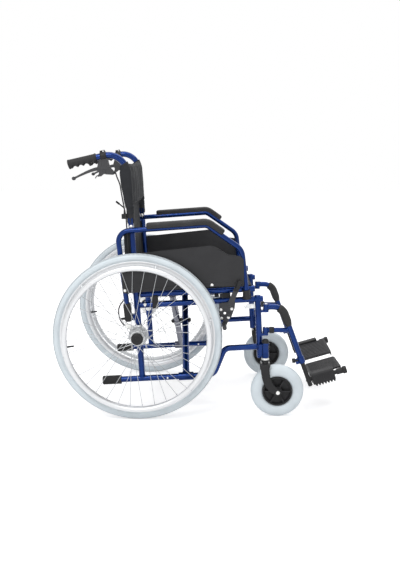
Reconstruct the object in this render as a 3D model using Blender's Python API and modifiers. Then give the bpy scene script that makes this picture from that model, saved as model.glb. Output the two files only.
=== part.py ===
"""A folding lightweight wheelchair with spoked rear wheels, at rest and unfolded.

Metres, +Z up, front towards +X, the user's left towards +Y. The origin lies on the floor, under the
middle of the whole chair. The right side is modelled and the left side is its mirror image; the
cross brace, the seat and the back between them are modelled whole.
"""

import math

import bmesh
import bpy
from mathutils import Matrix, Vector

# The sizes that most others start from. The side frames lean back a little, by the rake.
WHEEL_R = 0.305
CASTER_R = 0.0975
FRAME_HALF = 0.2255
RAKE = math.radians(3.2)
UPRIGHT_AHEAD = 0.135
UPRIGHT_U = WHEEL_R + UPRIGHT_AHEAD

# Gaps between pieces that touch, and between pieces that turn or slide on each other.
FIT = 0.0003
RUNNING = 0.0006

# Rear wheels, casters and what they roll on.
TYRE_WIDTH = 0.034
TYRE_HEIGHT = 0.026
WHEEL_STAND_OFF = 0.060
WHEEL_HALF = FRAME_HALF + WHEEL_STAND_OFF
RIM_DEPTH = 0.020
RIM_WIDTH = 0.023
SPOKES = 36
SPOKE_R = 0.0013
HUB_R = 0.016
HUB_CAP_R = 0.0216
HUB_CAP_T = 0.009
FLANGE_R = 0.027
FLANGE_T = 0.004
DRUM_R = 0.036
DRUM_LENGTH = 0.017
HANDRIM_R = 0.258
HANDRIM_TUBE_R = 0.0095
HANDRIM_STAND_OFF = 0.039
HANDRIM_HALF = WHEEL_HALF + HANDRIM_STAND_OFF
HANDRIM_STAYS = 6
AXLE_R = 0.006
CASTER_WIDTH = 0.046
CASTER_TYRE_HEIGHT = 0.044
CASTER_STAND_OFF = 0.0245
CASTER_HALF = FRAME_HALF + CASTER_STAND_OFF
CASTER_TRAIL = 0.0455
CASTER_SPOKES = 6
SWIVEL_AHEAD = 0.0225
SWIVEL_X = UPRIGHT_U + SWIVEL_AHEAD
STEM_R = 0.009

# Side frames. They lean back a little: u runs forward along the rails, w runs up along the canes,
# and both start at the rear axle.
TUBE_R = 0.011
CANE_R = 0.0115
LOWER_RAIL_W = -0.172
TOP_RAIL_W = 0.106
SEAT_RAIL_W = 0.147
SEAT_RAIL_R = 0.010
SEAT_RAIL_REAR = 0.0135
SEAT_RAIL_FRONT = UPRIGHT_U - 0.008
SEAT_REAR = 0.020
SEAT_FRONT = UPRIGHT_U - 0.020
SEAT_T = 0.004
SEAT_OVERHANG = 0.009
TOP_RAIL_NOSE = 0.020
TOP_RAIL_FRONT = UPRIGHT_U + TOP_RAIL_NOSE
UPRIGHT_FOOT_W = -0.115
FRONT_RAIL_W = -0.073
RAMP_LENGTH = 0.046
RAMP_HEAD_U = UPRIGHT_U - 0.129
RAMP_FOOT_U = RAMP_HEAD_U - RAMP_LENGTH
TIP_REACH = 0.135
TIP_LENGTH = 0.069
TIP_R = 0.0168
BACK_HINGE_W = 0.395
HOUSING_R = 0.014
HOUSING_CLEAR = 0.027
HOUSING_HEIGHT = 0.055
HOUSING_FOOT_Z = 2 * CASTER_R + HOUSING_CLEAR
HOUSING_TOP_Z = HOUSING_FOOT_Z + HOUSING_HEIGHT
SADDLES = ((0.057, 0.078, 0.0142), (0.312, 0.342, 0.0040))

# Cross brace. Each bar runs from the lower rail of one side to the seat rail of the other.
BAR_R = 0.0127
BAR_A_U = 0.163
BAR_B_U = 0.130
SLEEVE_R = 0.0155
SLEEVE_LENGTH = 0.056
CROSS_BOLT_R = 0.005
RAIL_PIN_REAR = 0.236
RAIL_PIN_FRONT = 0.295
RAIL_PIN_W = SEAT_RAIL_W - 0.0195
RAIL_PIN_R = 0.0048
CROSS_CAP_R = 0.011
CROSS_CAP_T = 0.010

# Swing-away legrests, measured from the rear axle.
LEG_PIVOT_AHEAD = 0.024
LEG_PIVOT_X = UPRIGHT_U + LEG_PIVOT_AHEAD
LEG_PIN_R = 0.0048
UPPER_EYE_Z = WHEEL_R + 0.101
LOWER_EYE_Z = WHEEL_R + 0.014
EYE_R = 0.0105
EYE_HEIGHT = 0.022
HANGER_R = 0.0105
HANGER_BEND_R = 0.045
LEG_SLANT = math.radians(20.6)
LEG_KNEE_X = LEG_PIVOT_X + 0.0585
HANGER_END_Z = WHEEL_R - 0.109
FOOT_TUBE_R = 0.0083
FOOT_TUBE_END_Z = WHEEL_R - 0.199
FOOT_TUBE_INSIDE = 0.090
FOOT_TRAVEL = 0.050
CALF_PAD_R = 0.0155
CALF_PAD = (0.042, 0.121)
FOOT_REACH = WHEEL_R + 0.467
PLATE_PIVOT_Z = WHEEL_R - 0.1794
PLATE_TILT = math.radians(16.5)
PLATE_LEAN = math.radians(4)
PLATE_T = 0.008
PLATE_REAR = 0.0112
PLATE_FRONT = 0.131
PLATE_INNER = 0.034
PLATE_OUTER = 0.0165
PLATE_RISE = 0.0157
PLATE_HINGE_STEP = 0.012
PLATE_HINGE_HALF = FRAME_HALF - PLATE_HINGE_STEP
HOUSING_HALF = 0.0185
HOUSING_RISE = 0.022
HOUSING_END = 0.0985

# Armrests and side guards.
ARM_STAND_OFF = 0.0265
ARM_HALF = FRAME_HALF + ARM_STAND_OFF
ARM_R = 0.0095
ARM_PIVOT = (-0.034, WHEEL_R + 0.064)
ARM_REAR_TOP = (-0.070, WHEEL_R + 0.379)
ARM_FRONT_TOP = (0.248, WHEEL_R + 0.402)
ARM_SHOULDER = (WHEEL_R + 0.068, WHEEL_R + 0.315)
ARM_FOOT = (WHEEL_R + 0.0885, WHEEL_R + 0.142)
ARM_BENDS = (0, 0.040, 0.030, 0.050, 0)
PAD_T = 0.021
PAD_START = 0.335
PAD_STOP = 0.42
PAD_WIDTH = 0.040
PAD_INNER = ARM_HALF - 0.0075
PAD_OUTER = PAD_INNER + PAD_WIDTH
GUARD_INNER = ARM_HALF + ARM_R + FIT
GUARD_T = 0.0032

# Parking brakes and legrest latches.
BRAKE_LEVER_PIVOT = (WHEEL_R + 0.028, WHEEL_R + 0.119)
BRAKE_LEVER_HALF = 0.0098
BRAKE_LEVER_INNER = GUARD_INNER + GUARD_T + 0.0024
BRAKE_SHOE_PIVOT = (WHEEL_R + 0.023, WHEEL_R + 0.074)
BRAKE_ROLLER_ANGLE = math.radians(7.3)
BRAKE_ROLLER_R = 0.008
BRAKE_GAP = 0.0018
LATCH_PIVOT = (UPRIGHT_U - 0.0265, WHEEL_R + 0.1045)

# Back canes, push handles and their levers.
HANDLE_CORNER_W = 0.662
HANDLE_BEND_R = 0.066
CLAMP_BEHIND_BEND = 0.0137
HANDLE_SLOPE = math.radians(12.8)
HANDLE_REACH = 0.238
GRIP_R = 0.0143
GRIP_RIDGE_PITCH = 0.0205
GRIP_RIDGE_DROP = 0.0070
GRIP_LENGTH = 0.101
CORNER_X = -HANDLE_CORNER_W * math.sin(RAKE)
CORNER_Z = WHEEL_R + HANDLE_CORNER_W * math.cos(RAKE)
HINGE_X = -BACK_HINGE_W * math.sin(RAKE)
HINGE_Z = WHEEL_R + BACK_HINGE_W * math.cos(RAKE)
LEVER_PIVOT = (CORNER_X - 0.0748, CORNER_Z - 0.0725)
LEVER_TIP = (CORNER_X - 0.1868, CORNER_Z - 0.1050)
CLAMP_LENGTH = 0.018
RELEASE_PIVOT = (HINGE_X - 0.0260, HINGE_Z + 0.0356)
UPPER_BACK = (HINGE_Z + 0.0676, CORNER_Z - 0.0450)
LOWER_BACK = (WHEEL_R + 0.217, HINGE_Z - 0.0234)
LOWER_BACK_TOP = HINGE_Z + 0.0600
SLEEVE_BEHIND = 0.0165
SLEEVE_T = 0.0020
CABLE_R = 0.0025

# How many sides round pieces have, and how many steps the wheels take.
ROUND = 8
FINE = 10
WHEEL_STEPS = 32
CASTER_STEPS = 20

# The rear axle lies behind the middle of the chair, whose ends are the rear tyre and the foot knob.
AXLE_X = -(FOOT_REACH - WHEEL_R) / 2

PAINTS = {
    "blue_paint": ((0.010, 0.035, 0.250), 0.28, 0.35),
    "grey_paint": ((0.230, 0.250, 0.280), 0.35, 0.40),
    "silver_alloy": ((0.640, 0.660, 0.680), 0.28, 0.95),
    "chrome": ((0.720, 0.730, 0.750), 0.12, 1.00),
    "black_steel": ((0.045, 0.046, 0.050), 0.38, 0.50),
    "grey_tyre": ((0.560, 0.590, 0.610), 0.70, 0.00),
    "black_plastic": ((0.012, 0.012, 0.013), 0.45, 0.00),
    "dark_panel": ((0.020, 0.021, 0.024), 0.40, 0.00),
    "black_foam": ((0.016, 0.016, 0.017), 0.65, 0.00),
    "black_fabric": ((0.014, 0.014, 0.016), 0.85, 0.00),
}


def clear_scene():
    for obj in list(bpy.data.objects):
        bpy.data.objects.remove(obj, do_unlink=True)


def new_collection(name):
    collection = bpy.data.collections.new(name)
    bpy.context.scene.collection.children.link(collection)
    return collection


def new_material(name):
    color, roughness, metallic = PAINTS[name]
    material = bpy.data.materials.new(name)
    material.use_nodes = True
    shader = material.node_tree.nodes["Principled BSDF"]
    shader.inputs["Base Color"].default_value = (*color, 1.0)
    shader.inputs["Roughness"].default_value = roughness
    shader.inputs["Metallic"].default_value = metallic
    material.diffuse_color = (*color, 1.0)
    return material


clear_scene()
PARTS = new_collection("wheelchair")
CUTTERS = new_collection("cutters")
MATERIALS = {name: new_material(name) for name in PAINTS}


# Places. The right side lies towards -Y, so `out` is the distance from the middle plane to the right.


def at(x, z, out):
    """The point x ahead of the rear axle and z above the floor."""
    return Vector((AXLE_X + x, -out, z))


def frame_at(u, w, out=FRAME_HALF):
    """The point u forward along the rails and w up along the canes."""
    x = u * math.cos(RAKE) - w * math.sin(RAKE)
    z = WHEEL_R + u * math.sin(RAKE) + w * math.cos(RAKE)
    return at(x, z, out)


def along(start, end, distance):
    """The point that far from start towards end."""
    return start + (end - start).normalized() * distance


def rounded(points, radii, closed=False, turn=math.radians(15)):
    """The corners of a path made round. An arc takes a point about every `turn` radians."""
    points = [Vector(point) for point in points]
    count = len(points)
    if not hasattr(radii, "__len__"):
        radii = [radii] * count
    path = []
    for i, corner in enumerate(points):
        inner = closed or 0 < i < count - 1
        if not inner or radii[i] <= 0:
            path.append(corner)
            continue
        back = (points[i - 1] - corner).normalized()
        ahead = (points[(i + 1) % count] - corner).normalized()
        opening = back.angle(ahead)
        bend = math.pi - opening
        if bend < 0.01:
            path.append(corner)
            continue
        middle = corner + (back + ahead).normalized() * radii[i] / math.sin(opening / 2)
        first = corner + back * radii[i] / math.tan(opening / 2) - middle
        last = corner + ahead * radii[i] / math.tan(opening / 2) - middle
        steps = max(2, round(bend / turn))
        for k in range(steps + 1):
            share = k * bend / steps
            path.append(middle + (first * math.sin(bend - share) + last * math.sin(share)) / math.sin(bend))
    return path


# Solids. Each helper returns a plain closed mesh among the cutters, until `finish` makes it a part.


def helper(mesh):
    obj = bpy.data.objects.new(mesh.name, mesh)
    CUTTERS.objects.link(obj)
    obj.hide_render = True
    obj.display_type = "WIRE"
    return obj


def helper_from(bm):
    bmesh.ops.recalc_face_normals(bm, faces=bm.faces)
    mesh = bpy.data.meshes.new("solid")
    bm.to_mesh(mesh)
    bm.free()
    return helper(mesh)


def evaluated_mesh(obj):
    """The object's mesh as its modifiers or its bevel make it, welded and facing out."""
    graph = bpy.context.evaluated_depsgraph_get()
    mesh = bpy.data.meshes.new_from_object(obj.evaluated_get(graph))
    bm = bmesh.new()
    bm.from_mesh(mesh)
    bmesh.ops.remove_doubles(bm, verts=bm.verts, dist=0.000002)
    bmesh.ops.recalc_face_normals(bm, faces=bm.faces)
    bm.to_mesh(mesh)
    bm.free()
    return mesh


def baked(obj):
    """A new helper with the evaluated mesh of obj, which is removed."""
    result = helper(evaluated_mesh(obj))
    result.matrix_world = obj.matrix_world
    bpy.data.objects.remove(obj, do_unlink=True)
    return result


def facing(start, end):
    """The matrix at start whose Z axis points to end."""
    turn = (end - start).to_track_quat("Z", "Y").to_matrix().to_4x4()
    return Matrix.Translation(start) @ turn


def rod(start, end, radius, end_radius=None, sides=ROUND):
    bm = bmesh.new()
    length = (end - start).length
    bmesh.ops.create_cone(
        bm,
        cap_ends=True,
        segments=sides,
        radius1=radius,
        radius2=radius if end_radius is None else end_radius,
        depth=length,
        matrix=facing(start, end) @ Matrix.Translation((0, 0, length / 2)),
    )
    return helper_from(bm)


def hole(start, end, radius, sides=FINE):
    """A cutter whose flats, not its corners, lie at the radius, so that a round piece turns in it."""
    return rod(start, end, radius / math.cos(math.pi / sides), sides=sides)


def pin(x, z, inner, outer, radius, sides=ROUND):
    """A rod across the chair, from inner to outer out of the middle plane."""
    return rod(at(x, z, inner), at(x, z, outer), radius, sides=sides)


def pin_hole(x, z, inner, outer, radius):
    return hole(at(x, z, inner), at(x, z, outer), radius)


def post(x, out, bottom, top, radius, end_radius=None, sides=ROUND):
    """An upright rod."""
    return rod(at(x, bottom, out), at(x, top, out), radius, end_radius, sides)


def box(low, high, turn=Matrix.Identity(4), centre=Vector((0, 0, 0))):
    """A box between two corners, given from centre before the turn."""
    low, high = Vector(low), Vector(high)
    bm = bmesh.new()
    scale = Matrix.Diagonal((*(high - low), 1))
    bmesh.ops.create_cube(
        bm, size=1, matrix=Matrix.Translation(centre) @ turn @ Matrix.Translation((low + high) / 2) @ scale
    )
    return helper_from(bm)


def plain_box(x, z, out):
    """A level box: x, z and out are each (from, to)."""
    return box((AXLE_X + x[0], -out[1], z[0]), (AXLE_X + x[1], -out[0], z[1]))


def frame_box(u, w, out):
    """A box square to the rails: u, w and out are each (from, to)."""
    turn = Matrix.Rotation(-RAKE, 4, "Y")
    return box((u[0], -out[1], w[0]), (u[1], -out[0], w[1]), turn, at(0, WHEEL_R, 0))


def curve_object(splines, closed, dimensions):
    curve = bpy.data.curves.new("curve", "CURVE")
    curve.dimensions = dimensions
    for points in splines:
        spline = curve.splines.new("POLY")
        spline.points.add(len(points) - 1)
        for place, point in zip(spline.points, points):
            place.co = (*Vector(point).to_3d(), 1)
        spline.use_cyclic_u = closed
    obj = bpy.data.objects.new("curve", curve)
    CUTTERS.objects.link(obj)
    return obj


def tube(points, radius, radii=0.0, sides=ROUND, closed=False, turn=math.radians(28)):
    """A bent round bar through the points, with the given bend radii and flat ends."""
    obj = curve_object([rounded(points, radii, closed, turn)], closed, "3D")
    obj.data.bevel_depth = radius
    obj.data.bevel_resolution = (sides - 4) // 2
    obj.data.use_fill_caps = True
    return baked(obj)


def plate(outline, inner, outer, radii=0.0, holes=(), place=at, turn=math.radians(40)):
    """A flat sheet in the chair's side plane, from inner to outer. Points are (x, z) or (u, w)."""
    loops = [rounded([(*point, 0) for point in outline], radii, True, turn)]
    loops += [[(*point, 0) for point in hole] for hole in holes]
    obj = curve_object(loops, True, "2D")
    obj.data.fill_mode = "BOTH"
    obj.data.extrude = (outer - inner) / 2
    origin = place(0, 0, (inner + outer) / 2)
    across = place(1, 0, 0) - place(0, 0, 0)
    up = place(0, 1, 0) - place(0, 0, 0)
    turned_to = Matrix((across, up, across.cross(up))).transposed().to_4x4()
    obj.matrix_world = Matrix.Translation(origin) @ turned_to
    return applied(baked(obj))


def turned(profile, start, end, steps=24, closed=False):
    """A round solid: the profile's (radius, height) points turned about the line from start to end."""
    bm = bmesh.new()
    verts = [bm.verts.new((radius, 0, height)) for radius, height in profile]
    for first, second in zip(verts, verts[1:] + verts[:1] if closed else verts[1:]):
        bm.edges.new((first, second))
    mesh = bpy.data.meshes.new("profile")
    bm.to_mesh(mesh)
    bm.free()
    obj = helper(mesh)
    screw = obj.modifiers.new("Screw", "SCREW")
    screw.axis = "Z"
    screw.angle = 2 * math.pi
    screw.steps = steps
    screw.render_steps = steps
    screw.use_merge_vertices = True
    screw.merge_threshold = 0.000002
    obj.matrix_world = facing(start, end)
    return applied(baked(obj))


def applied(obj):
    """The object with its placing moved into its mesh."""
    obj.data.transform(obj.matrix_world)
    if obj.matrix_world.determinant() < 0:
        obj.data.flip_normals()
    obj.matrix_world = Matrix.Identity(4)
    return obj


def combined(base, pieces, operation):
    for piece in pieces:
        modifier = base.modifiers.new("Boolean", "BOOLEAN")
        modifier.operation = operation
        modifier.object = piece
    result = baked(base)
    for piece in pieces:
        bpy.data.objects.remove(piece, do_unlink=True)
    return result


def fused(base, *pieces):
    return combined(base, pieces, "UNION")


def cut(base, *pieces):
    return combined(base, pieces, "DIFFERENCE")


# Parts. A part sits under an empty on the axis that it turns about or slides along.


def pivot(name, place):
    empty = bpy.data.objects.new(name, None)
    empty.location = place
    empty.empty_display_size = 0.03
    PARTS.objects.link(empty)
    return empty


def finish(obj, name, material, parent=None):
    obj.name = name
    obj.data.name = name
    CUTTERS.objects.unlink(obj)
    PARTS.objects.link(obj)
    obj.hide_render = False
    obj.display_type = "TEXTURED"
    obj.data.materials.clear()
    obj.data.materials.append(MATERIALS[material])
    obj.data.shade_smooth()
    obj.data.set_sharp_from_angle(angle=math.radians(35))
    if parent:
        obj.parent = parent
        obj.matrix_parent_inverse = Matrix.Translation(-parent.location)
    return obj


def mirrored(obj):
    """A helper that is the mirror image of obj across the chair's middle plane."""
    mesh = obj.data.copy()
    mesh.transform(Matrix.Scale(-1, 4, (0, 1, 0)))
    mesh.flip_normals()
    return helper(mesh)


# Side frame: one weldment of tubes, sockets, saddles and lugs, with the anchor plate of the drum brake.


def side_frame():
    tongue_half = 0.006
    cane_top_w = BACK_HINGE_W - 0.018
    rail_end = frame_at(-TIP_REACH, LOWER_RAIL_W)
    rail_path = [
        rail_end,
        frame_at(RAMP_FOOT_U, LOWER_RAIL_W),
        frame_at(RAMP_HEAD_U, FRONT_RAIL_W),
        frame_at(UPRIGHT_U, FRONT_RAIL_W),
    ]
    frame = tube(rail_path, TUBE_R, (0, 0.035, 0.030, 0))
    pieces = [
        rod(frame_at(0, LOWER_RAIL_W), frame_at(0, cane_top_w), CANE_R),
        rod(frame_at(0, TOP_RAIL_W), frame_at(TOP_RAIL_FRONT, TOP_RAIL_W), TUBE_R),
        rod(frame_at(UPRIGHT_U, UPRIGHT_FOOT_W), frame_at(UPRIGHT_U, TOP_RAIL_W + 0.0145), CANE_R),
        plate(
            [
                (-0.0085, BACK_HINGE_W - 0.024),
                (0.0085, BACK_HINGE_W - 0.024),
                (0.0085, BACK_HINGE_W + 0.0085),
                (-0.0085, BACK_HINGE_W + 0.0085),
            ],
            FRAME_HALF - tongue_half,
            FRAME_HALF + tongue_half,
            (0, 0, 0.008, 0.008),
            place=frame_at,
        ),
        axle_boss(),
        caster_housing(),
        armrest_bracket(),
        latch_lug(),
        pin(0.024, WHEEL_R + 0.110, FRAME_HALF, FRAME_HALF + TUBE_R + 0.0025, 0.0045),
    ]
    pieces += [leg_lug(UPPER_EYE_Z), leg_lug(LOWER_EYE_Z)]
    pieces += [saddle(*spot) for spot in SADDLES]
    frame = fused(frame, *pieces)
    axle = pin_hole(0, WHEEL_R, FRAME_HALF - 0.03, FRAME_HALF + 0.03, AXLE_R + FIT)
    stem_foot = at(SWIVEL_X, HOUSING_FOOT_Z - 0.01, CASTER_HALF)
    stem_bore = hole(stem_foot, at(SWIVEL_X, HOUSING_TOP_Z - 0.005, CASTER_HALF), STEM_R + FIT)
    hinge = frame_at(0, BACK_HINGE_W)
    reach = Vector((0, 0.03, 0))
    hinge_bore = hole(hinge - reach, hinge + reach, 0.0042 + FIT)
    return cut(frame, axle, stem_bore, hinge_bore)


def axle_boss():
    """The sleeve through the cane that holds the quick-release axle, and the brake's anchor plate."""
    anchor_in = FRAME_HALF + 0.0185
    boss = pin(0, WHEEL_R, FRAME_HALF - 0.016, anchor_in + 0.001, 0.015, sides=FINE)
    anchor = pin(0, WHEEL_R, anchor_in, anchor_in + 0.003, DRUM_R, sides=16)
    corners = ((-0.047, 0.033), (-0.034, 0.043), (-0.010, 0.030), (-0.026, 0.013))
    arm = plate(
        [(x, WHEEL_R + rise) for x, rise in corners],
        anchor_in,
        anchor_in + 0.003,
    )
    clip_out = (anchor_in - 0.006, anchor_in + 0.001)
    clip = plain_box((-0.047, -0.037), (WHEEL_R + 0.031, WHEEL_R + 0.041), clip_out)
    return fused(boss, anchor, arm, clip)


def caster_housing():
    """The upright bearing tube for the caster's stem, with the box that welds it to the upright."""
    housing = post(SWIVEL_X, CASTER_HALF, HOUSING_FOOT_Z, HOUSING_TOP_Z, HOUSING_R, sides=FINE)
    cap = post(SWIVEL_X, CASTER_HALF, HOUSING_TOP_Z - 0.001, HOUSING_TOP_Z + 0.008, 0.013, sides=FINE)
    top = HOUSING_TOP_Z
    dome = post(SWIVEL_X, CASTER_HALF, top + 0.0075, top + 0.016, 0.013, 0.006, sides=FINE)
    web = plain_box(
        (SWIVEL_X - 0.024, SWIVEL_X - 0.004),
        (HOUSING_FOOT_Z + 0.004, HOUSING_TOP_Z - 0.006),
        (FRAME_HALF - 0.006, CASTER_HALF + 0.004),
    )
    return fused(housing, cap, dome, web)


def armrest_bracket():
    """The block behind the cane with the pin that the armrest swings on."""
    x, z = ARM_PIVOT
    block_out = (FRAME_HALF - 0.004, FRAME_HALF + 0.0145)
    block = plain_box((x - 0.011, x + 0.024), (z - 0.011, z + 0.011), block_out)
    swing_pin = pin(x, z, FRAME_HALF + 0.010, ARM_HALF + ARM_R + 0.0015, 0.005)
    head = pin(x, z, ARM_HALF + ARM_R + FIT, ARM_HALF + ARM_R + 0.003, 0.008)
    return fused(block, swing_pin, head)


def leg_lug(eye_z):
    """A shelf welded to the front upright, with the pin that an eye of the legrest drops on."""
    top = eye_z - EYE_HEIGHT / 2 - FIT
    shelf_out = (FRAME_HALF - 0.008, FRAME_HALF + 0.008)
    shelf = plain_box((LEG_PIVOT_X - 0.026, LEG_PIVOT_X), (top - 0.008, top), shelf_out)
    nose = post(LEG_PIVOT_X, FRAME_HALF, top - 0.008, top, EYE_R)
    pin_top = eye_z + EYE_HEIGHT / 2 + 0.002
    pin_above = post(LEG_PIVOT_X, FRAME_HALF, top - 0.004, pin_top, LEG_PIN_R, sides=12)
    return fused(shelf, nose, pin_above)


def saddle(start, end, outward):
    """A rest on the top rail, open upward, that the seat rail drops into when the chair unfolds."""
    block_out = (FRAME_HALF - 0.0142, FRAME_HALF + outward)
    block = frame_box((start, end), (TOP_RAIL_W + 0.0063, SEAT_RAIL_W), block_out)
    groove_start = frame_at(start - 0.01, SEAT_RAIL_W)
    groove = hole(groove_start, frame_at(end + 0.01, SEAT_RAIL_W), SEAT_RAIL_R + FIT)
    return cut(block, groove)


def tip_plug():
    """The rubber tip at the rear end of the lower rail, which a foot presses to tilt the chair."""
    start = frame_at(-TIP_REACH - 0.012, LOWER_RAIL_W)
    mouth = along(start, frame_at(0, LOWER_RAIL_W), TIP_LENGTH)
    plug = rod(start, mouth, TIP_R)
    bore = hole(frame_at(-TIP_REACH - FIT, LOWER_RAIL_W), along(mouth, start, -0.01), TUBE_R + FIT)
    return cut(plug, bore)


# Cross brace and seat.


def cross_bar(bar_u, foot_out, top_out):
    """One bar of the X with the sleeve on its lower rail and the seat rail on its upper end."""
    foot = frame_at(bar_u, LOWER_RAIL_W, foot_out)
    top = frame_at(bar_u, SEAT_RAIL_W, top_out)
    half = SLEEVE_LENGTH / 2
    sleeve_start = frame_at(bar_u - half, LOWER_RAIL_W, foot_out)
    sleeve = rod(sleeve_start, frame_at(bar_u + half, LOWER_RAIL_W, foot_out), SLEEVE_R, sides=FINE)
    rail_start = frame_at(SEAT_RAIL_REAR, SEAT_RAIL_W, top_out)
    rail = rod(rail_start, frame_at(SEAT_RAIL_FRONT, SEAT_RAIL_W, top_out), SEAT_RAIL_R)
    low_out, high_out = sorted((top_out - 0.004, top_out + 0.004))
    lug_u = (RAIL_PIN_REAR, RAIL_PIN_REAR + 0.010)
    lug = frame_box(lug_u, (RAIL_PIN_W, SEAT_RAIL_W - 0.007), (low_out, high_out))
    pin_start = frame_at(RAIL_PIN_REAR - 0.002, RAIL_PIN_W, top_out)
    rail_pin = rod(pin_start, frame_at(RAIL_PIN_FRONT, RAIL_PIN_W, top_out), RAIL_PIN_R)
    bar = fused(rod(foot, top, BAR_R), sleeve, rail, lug, rail_pin)
    bore = hole(
        frame_at(bar_u - half - 0.01, LOWER_RAIL_W, foot_out),
        frame_at(bar_u + half + 0.01, LOWER_RAIL_W, foot_out),
        TUBE_R + FIT,
    )
    crossing = (foot + top) / 2
    reach = frame_at(1, 0, 0) - frame_at(0, 0, 0)
    bolt_bore = hole(crossing - reach * 0.03, crossing + reach * 0.03, CROSS_BOLT_R + FIT)
    return cut(bar, bore, bolt_bore)


def cross_pivot():
    """The bolt through both bars, with the spacer between them and a cap on each end."""
    middle_w = (LOWER_RAIL_W + SEAT_RAIL_W) / 2
    low = BAR_B_U - BAR_R - FIT
    high = BAR_A_U + BAR_R + FIT
    spacer_low = BAR_B_U + BAR_R + FIT
    spacer_high = BAR_A_U - BAR_R - FIT
    bolt = rod(frame_at(low - 0.004, middle_w, 0), frame_at(high + 0.004, middle_w, 0), CROSS_BOLT_R)
    rear_cap = rod(frame_at(low - CROSS_CAP_T, middle_w, 0), frame_at(low, middle_w, 0), CROSS_CAP_R)
    front_cap = rod(frame_at(high, middle_w, 0), frame_at(high + CROSS_CAP_T, middle_w, 0), CROSS_CAP_R)
    spacer = rod(frame_at(spacer_low, middle_w, 0), frame_at(spacer_high, middle_w, 0), CROSS_CAP_R)
    return fused(bolt, rear_cap, front_cap, spacer)


def seat_sling():
    """The seat fabric, a thin slab laid over both seat rails."""
    low = SEAT_RAIL_W + SEAT_RAIL_R + FIT
    half = FRAME_HALF + SEAT_OVERHANG
    return frame_box((SEAT_REAR, SEAT_FRONT), (low, low + SEAT_T), (-half, half))


# Rear wheels.


def joined(*pieces):
    """Several solids that don't touch, as one mesh for a Boolean."""
    bm = bmesh.new()
    for piece in pieces:
        bm.from_mesh(piece.data)
        bpy.data.objects.remove(piece, do_unlink=True)
    return helper_from(bm)


def ring_profile(inner, outer, half_width, points=10, squareness=1.0):
    """A closed oval profile of a ring between two radii, centred on its plane."""
    middle = (inner + outer) / 2
    profile = []
    for k in range(points):
        angle = 2 * math.pi * (k + 0.5) / points
        c, s = math.cos(angle), math.sin(angle)
        rise = math.copysign(abs(c) ** squareness, c)
        side = math.copysign(abs(s) ** squareness, s)
        reach = (outer - inner) / 2 * rise / math.cos(math.pi / points)
        profile.append((middle + reach, half_width * side))
    return profile


def rear_tyre():
    hub = at(0, WHEEL_R, WHEEL_HALF)
    outer = WHEEL_R
    inner = WHEEL_R - TYRE_HEIGHT
    crown = [(outer, 0.45), (outer - 0.007, 0.95), (outer - 0.018, 0.92), (inner, 0.6)]
    half = TYRE_WIDTH / 2
    profile = [(r, share * half) for r, share in crown] + [(r, -share * half) for r, share in reversed(crown)]
    return turned(profile, hub, at(0, WHEEL_R, 1), steps=WHEEL_STEPS, closed=True)


def rear_wheel():
    """The rim, the spokes and the hub with its brake drum."""
    hub = at(0, WHEEL_R, WHEEL_HALF)
    outer = WHEEL_R - TYRE_HEIGHT - FIT
    half = RIM_WIDTH / 2
    side = [(outer, 1.0), (outer - 0.009, 1.0), (outer - RIM_DEPTH, 0.35)]
    profile = [(r, share * half) for r, share in side] + [(r, -share * half) for r, share in reversed(side)]
    rim = turned(profile, hub, at(0, WHEEL_R, 1), steps=WHEEL_STEPS, closed=True)
    drum_in = FRAME_HALF + 0.0185 + 0.003 + 0.0015
    drum_out = drum_in + DRUM_LENGTH
    end = WHEEL_HALF + 0.020
    flanges = (drum_out + 0.001, end - 0.006)
    wheel = pin(0, WHEEL_R, drum_in, end, HUB_R, sides=FINE)
    drum = pin(0, WHEEL_R, drum_in, drum_out, DRUM_R, sides=16)
    half_disc = FLANGE_T / 2
    discs = [pin(0, WHEEL_R, out - half_disc, out + half_disc, FLANGE_R, sides=16) for out in flanges]
    cap = pin(0, WHEEL_R, end - HUB_CAP_T, end, HUB_CAP_R, sides=FINE)
    wheel = fused(wheel, drum, cap, *discs)
    for side_of_hub, flange in enumerate(flanges):
        for lean in (-1, 1):
            wheel = fused(wheel, joined(*spokes(flange, side_of_hub, lean, outer - RIM_DEPTH + 0.003)))
    wheel = fused(wheel, rim)
    return cut(wheel, pin_hole(0, WHEEL_R, drum_in - 0.01, end + 0.01, AXLE_R + FIT))


def spokes(flange_out, side_of_hub, lean, rim_radius):
    """The spokes of one flange that lean one way. They cross three of the other lean."""
    rods = []
    step = 2 * math.pi / SPOKES
    for k in range(SPOKES // 4):
        at_rim = step * (4 * k + 2 * (lean > 0) + side_of_hub + 0.5)
        at_hub = at_rim - lean * math.radians(68)
        near = FLANGE_R - 0.004
        hub_end = at(near * math.cos(at_hub), WHEEL_R + near * math.sin(at_hub), flange_out + lean * 0.0008)
        rim_end = at(rim_radius * math.cos(at_rim), WHEEL_R + rim_radius * math.sin(at_rim), WHEEL_HALF)
        rods.append(rod(hub_end, rim_end, SPOKE_R, sides=3))
    return rods


def rear_axle():
    """The quick-release axle: a nut inside the frame, the shaft and the cap outside the hub."""
    end = WHEEL_HALF + 0.020 + FIT
    inside = FRAME_HALF - 0.016 - FIT
    shaft = pin(0, WHEEL_R, inside - 0.012, end + 0.004, AXLE_R)
    nut = pin(0, WHEEL_R, inside - 0.009, inside, 0.010, sides=6)
    cap = turned(
        [(0, 0), (0.0195, 0), (0.0195, 0.0055), (0.016, 0.0098), (0.008, 0.0122), (0, 0.0122)],
        at(0, WHEEL_R, end),
        at(0, WHEEL_R, 1),
        steps=16,
    )
    return fused(shaft, nut, cap)


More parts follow.
